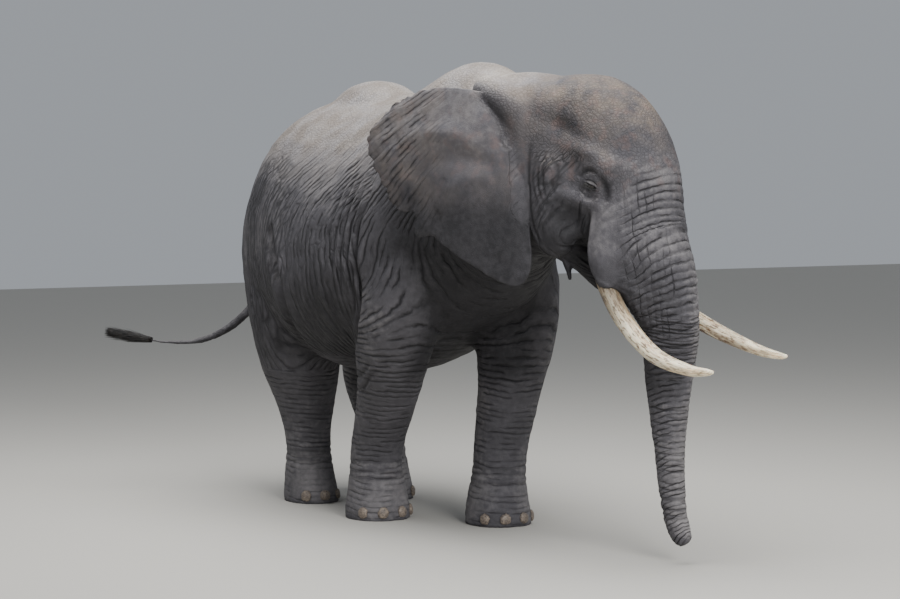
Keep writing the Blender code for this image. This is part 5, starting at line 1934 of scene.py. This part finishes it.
@dataclass(frozen=True)
class Lashes:
    """The long, sparse lashes that hang from both upper lids."""
    hairs: int = 44
    length: float = 0.05
    radius: float = 0.0009

    def build(self, skin: Skin, finish: Material) -> Object:
        """Grows the lashes along the edges of the lids.

        Args:
            skin: The skin whose lids carry them.
            finish: The hair's material.
        Returns:
            The finished lashes.
        """
        draw = np.random.default_rng(73)
        strands = []
        for side in Side:
            middle, (along, across, out) = skin.frames[side]
            low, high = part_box("eye_" + side.word)
            ball = (high.z - low.z) / 2.0 + skin.lid
            for hair in range(self.hairs):
                place = (hair + 0.5 + 0.4 * draw.normal()) / self.hairs * 2.0 - 1.0
                place = min(max(place, -0.95), 0.95)
                share = 1.0 - place ** 2
                right, up = place * skin.slit_half * 0.95, skin.upper_rise * share ** 0.65 + 0.0015
                depth = math.sqrt(max(ball ** 2 - right ** 2 - up ** 2, 0.0002)) - 0.002
                root = middle + along * right + across * up + out * depth
                way = unit(out * 0.8 - across * (0.35 + 0.15 * draw.random()) + along * (place * 0.45))
                droop = -across * (0.55 + 0.2 * draw.random())
                length = self.length * (0.7 + 0.3 * draw.random())
                patch = (0.05 + 0.02 * side.value + 0.01 * place, 0.95)
                strands.append(Strand(root, way, droop, length, self.radius, patch))
        lashes = weave("eyelashes", strands, 4, finish)
        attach(lashes, ROOT)
        return lashes


@dataclass(frozen=True)
class TailTuft:
    """The flat fan of wiry hairs at the end of the tail."""
    hairs: int = 900
    reach: float = 0.22
    radius: float = 0.0016
    spread: float = 0.02
    stray: float = 0.05
    line: tuple = (
        # forward, right, up
        (-2.93, 1.015, 1.137), (-3.03, 1.14, 1.165), (-3.11, 1.235, 1.188), (-3.17, 1.31, 1.196),
    )

    def build(self, finish: Material) -> Object:
        """Grows the tuft over its node's line.

        Args:
            finish: The hair's material.
        Returns:
            The finished tuft.
        """
        path = curve(from_body(np.array(self.line)), 8)
        draw = np.random.default_rng(71)
        strands = []
        for _ in range(self.hairs):
            share = draw.random() ** 1.5 * 0.6
            at = share * (len(path) - 1)
            here = int(at)
            middle = path[here] + (path[here + 1] - path[here]) * (at - here)
            way = unit(path[min(here + 3, len(path) - 1)] - path[here])
            angle = draw.random() * 2.0 * math.pi
            side = unit(np.cross(way, (0.0, 0.0, 1.0)))
            other = np.cross(side, way)
            spread = side * math.cos(angle) + other * math.sin(angle)
            root = middle + spread * self.spread * math.sqrt(draw.random())
            aim = unit(way + spread * (0.1 + 0.1 * draw.random()) + draw.normal(size=3) * self.stray)
            left = np.linalg.norm(path[-1] - middle)
            length = min(left * (0.9 + 0.15 * draw.random()), self.reach)
            droop = np.array((0.0, 0.0, -0.08)) * draw.random() - spread * 0.1
            patch = (0.9 + 0.04 * share, angle / 2.0 / math.pi)
            strands.append(Strand(root, aim, droop, length, self.radius, patch))
        tuft = weave("tail_hair", strands, 4, finish)
        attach(tuft, ROOT)
        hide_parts("tail_tuft")
        return tuft


# ---------------------------------------------------------------- studio
@dataclass(frozen=True)
class Studio:
    """A pale floor, soft light from above and in front, and the camera."""
    lens: float = 102.24
    eye: Triple = (-8.692, -15.438, 2.6)
    heading: float = math.radians(60.0)
    pitch: float = math.radians(3.35)
    floor_size: float = 60.0
    floor_colour: str = "#b9b6af"
    sky_colour: str = "#eaf0f8"
    sky_strength: float = 0.42
    sensor: float = 36.0
    farthest: float = 200.0
    lamps: tuple = (
        # name, place, width, power in watts
        ("overhead", (-0.5, -0.5, 8.5), 8.0, 1200.0),
        ("front", (-1.5, -11.0, 4.8), 5.0, 1050.0),
    )
    lit: Triple = (0.0, 0.0, 1.6)

    def build(self) -> None:
        """Makes the floor, lights and camera."""
        bpy.ops.object.select_all(action="DESELECT")
        bpy.ops.mesh.primitive_plane_add(size=self.floor_size, location=(0.0, 0.0, -0.0005))
        floor = bpy.context.active_object
        floor.name = "floor"
        paper = Finish("studio floor", 0.9, 1.45)
        paper.shader.inputs["Base Color"].default_value = linear(self.floor_colour)
        floor.data.materials.append(paper.material)
        world = bpy.data.worlds.new("studio")
        bpy.context.scene.world = world
        world.use_nodes = True
        sky = world.node_tree.nodes["Background"]
        sky.inputs["Color"].default_value = linear(self.sky_colour)
        sky.inputs["Strength"].default_value = self.sky_strength
        for lamp in self.lamps:
            self.lamp(*lamp)
        camera = bpy.data.cameras.new("camera")
        camera.lens = self.lens
        camera.sensor_width = self.sensor
        camera.clip_end = self.farthest
        item = new_object("camera", camera)
        item.location = self.eye
        level = Vector((math.cos(self.heading), math.sin(self.heading), -math.tan(self.pitch)))
        item.rotation_euler = level.to_track_quat("-Z", "Y").to_euler()
        bpy.context.scene.camera = item

    def lamp(self, name: str, place: Triple, size: float, power: float) -> None:
        """Adds a soft area light that faces the animal's middle.

        Args:
            name: The light's name.
            place: Where it hangs.
            size: Its width.
            power: Its power in watts.
        """
        light = bpy.data.lights.new(name, "AREA")
        light.shape = "DISK"
        light.size = size
        light.energy = power
        item = new_object(name, light)
        item.location = place
        item.rotation_euler = (Vector(self.lit) - Vector(place)).to_track_quat("-Z", "Y").to_euler()


# ---------------------------------------------------------------- all together
def main() -> None:
    """Builds every piece in order."""
    logging.basicConfig(level=logging.INFO, format="%(name)s: %(message)s")
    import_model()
    Studio().build()
    shaper = Skin()
    skin = shaper.build()
    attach(skin, ROOT)
    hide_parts(*FLESH, "ear_right", "ear_left")
    for side in Side:
        _, axes = shaper.frames[side]
        Eye(side).build(axes[2])
        LOG.info("eye: %s", side.word)
    for side, lift in ((Side.RIGHT, 0.0), (Side.LEFT, 0.12)):
        Tusk(side, lift).build()
        LOG.info("tusk: %s", side.word)
    horn = NailFinish().make()
    for leg in LEGS:
        Nails(leg, 4 if leg.startswith("front") else 3).build(horn)
        LOG.info("nails: %s", leg)
    hair = HairFinish().make()
    Lashes().build(shaper, hair)
    LOG.info("eyelashes")
    TailTuft().build(hair)
    LOG.info("tail tuft")
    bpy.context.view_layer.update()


if __name__ == "__main__":
    main()
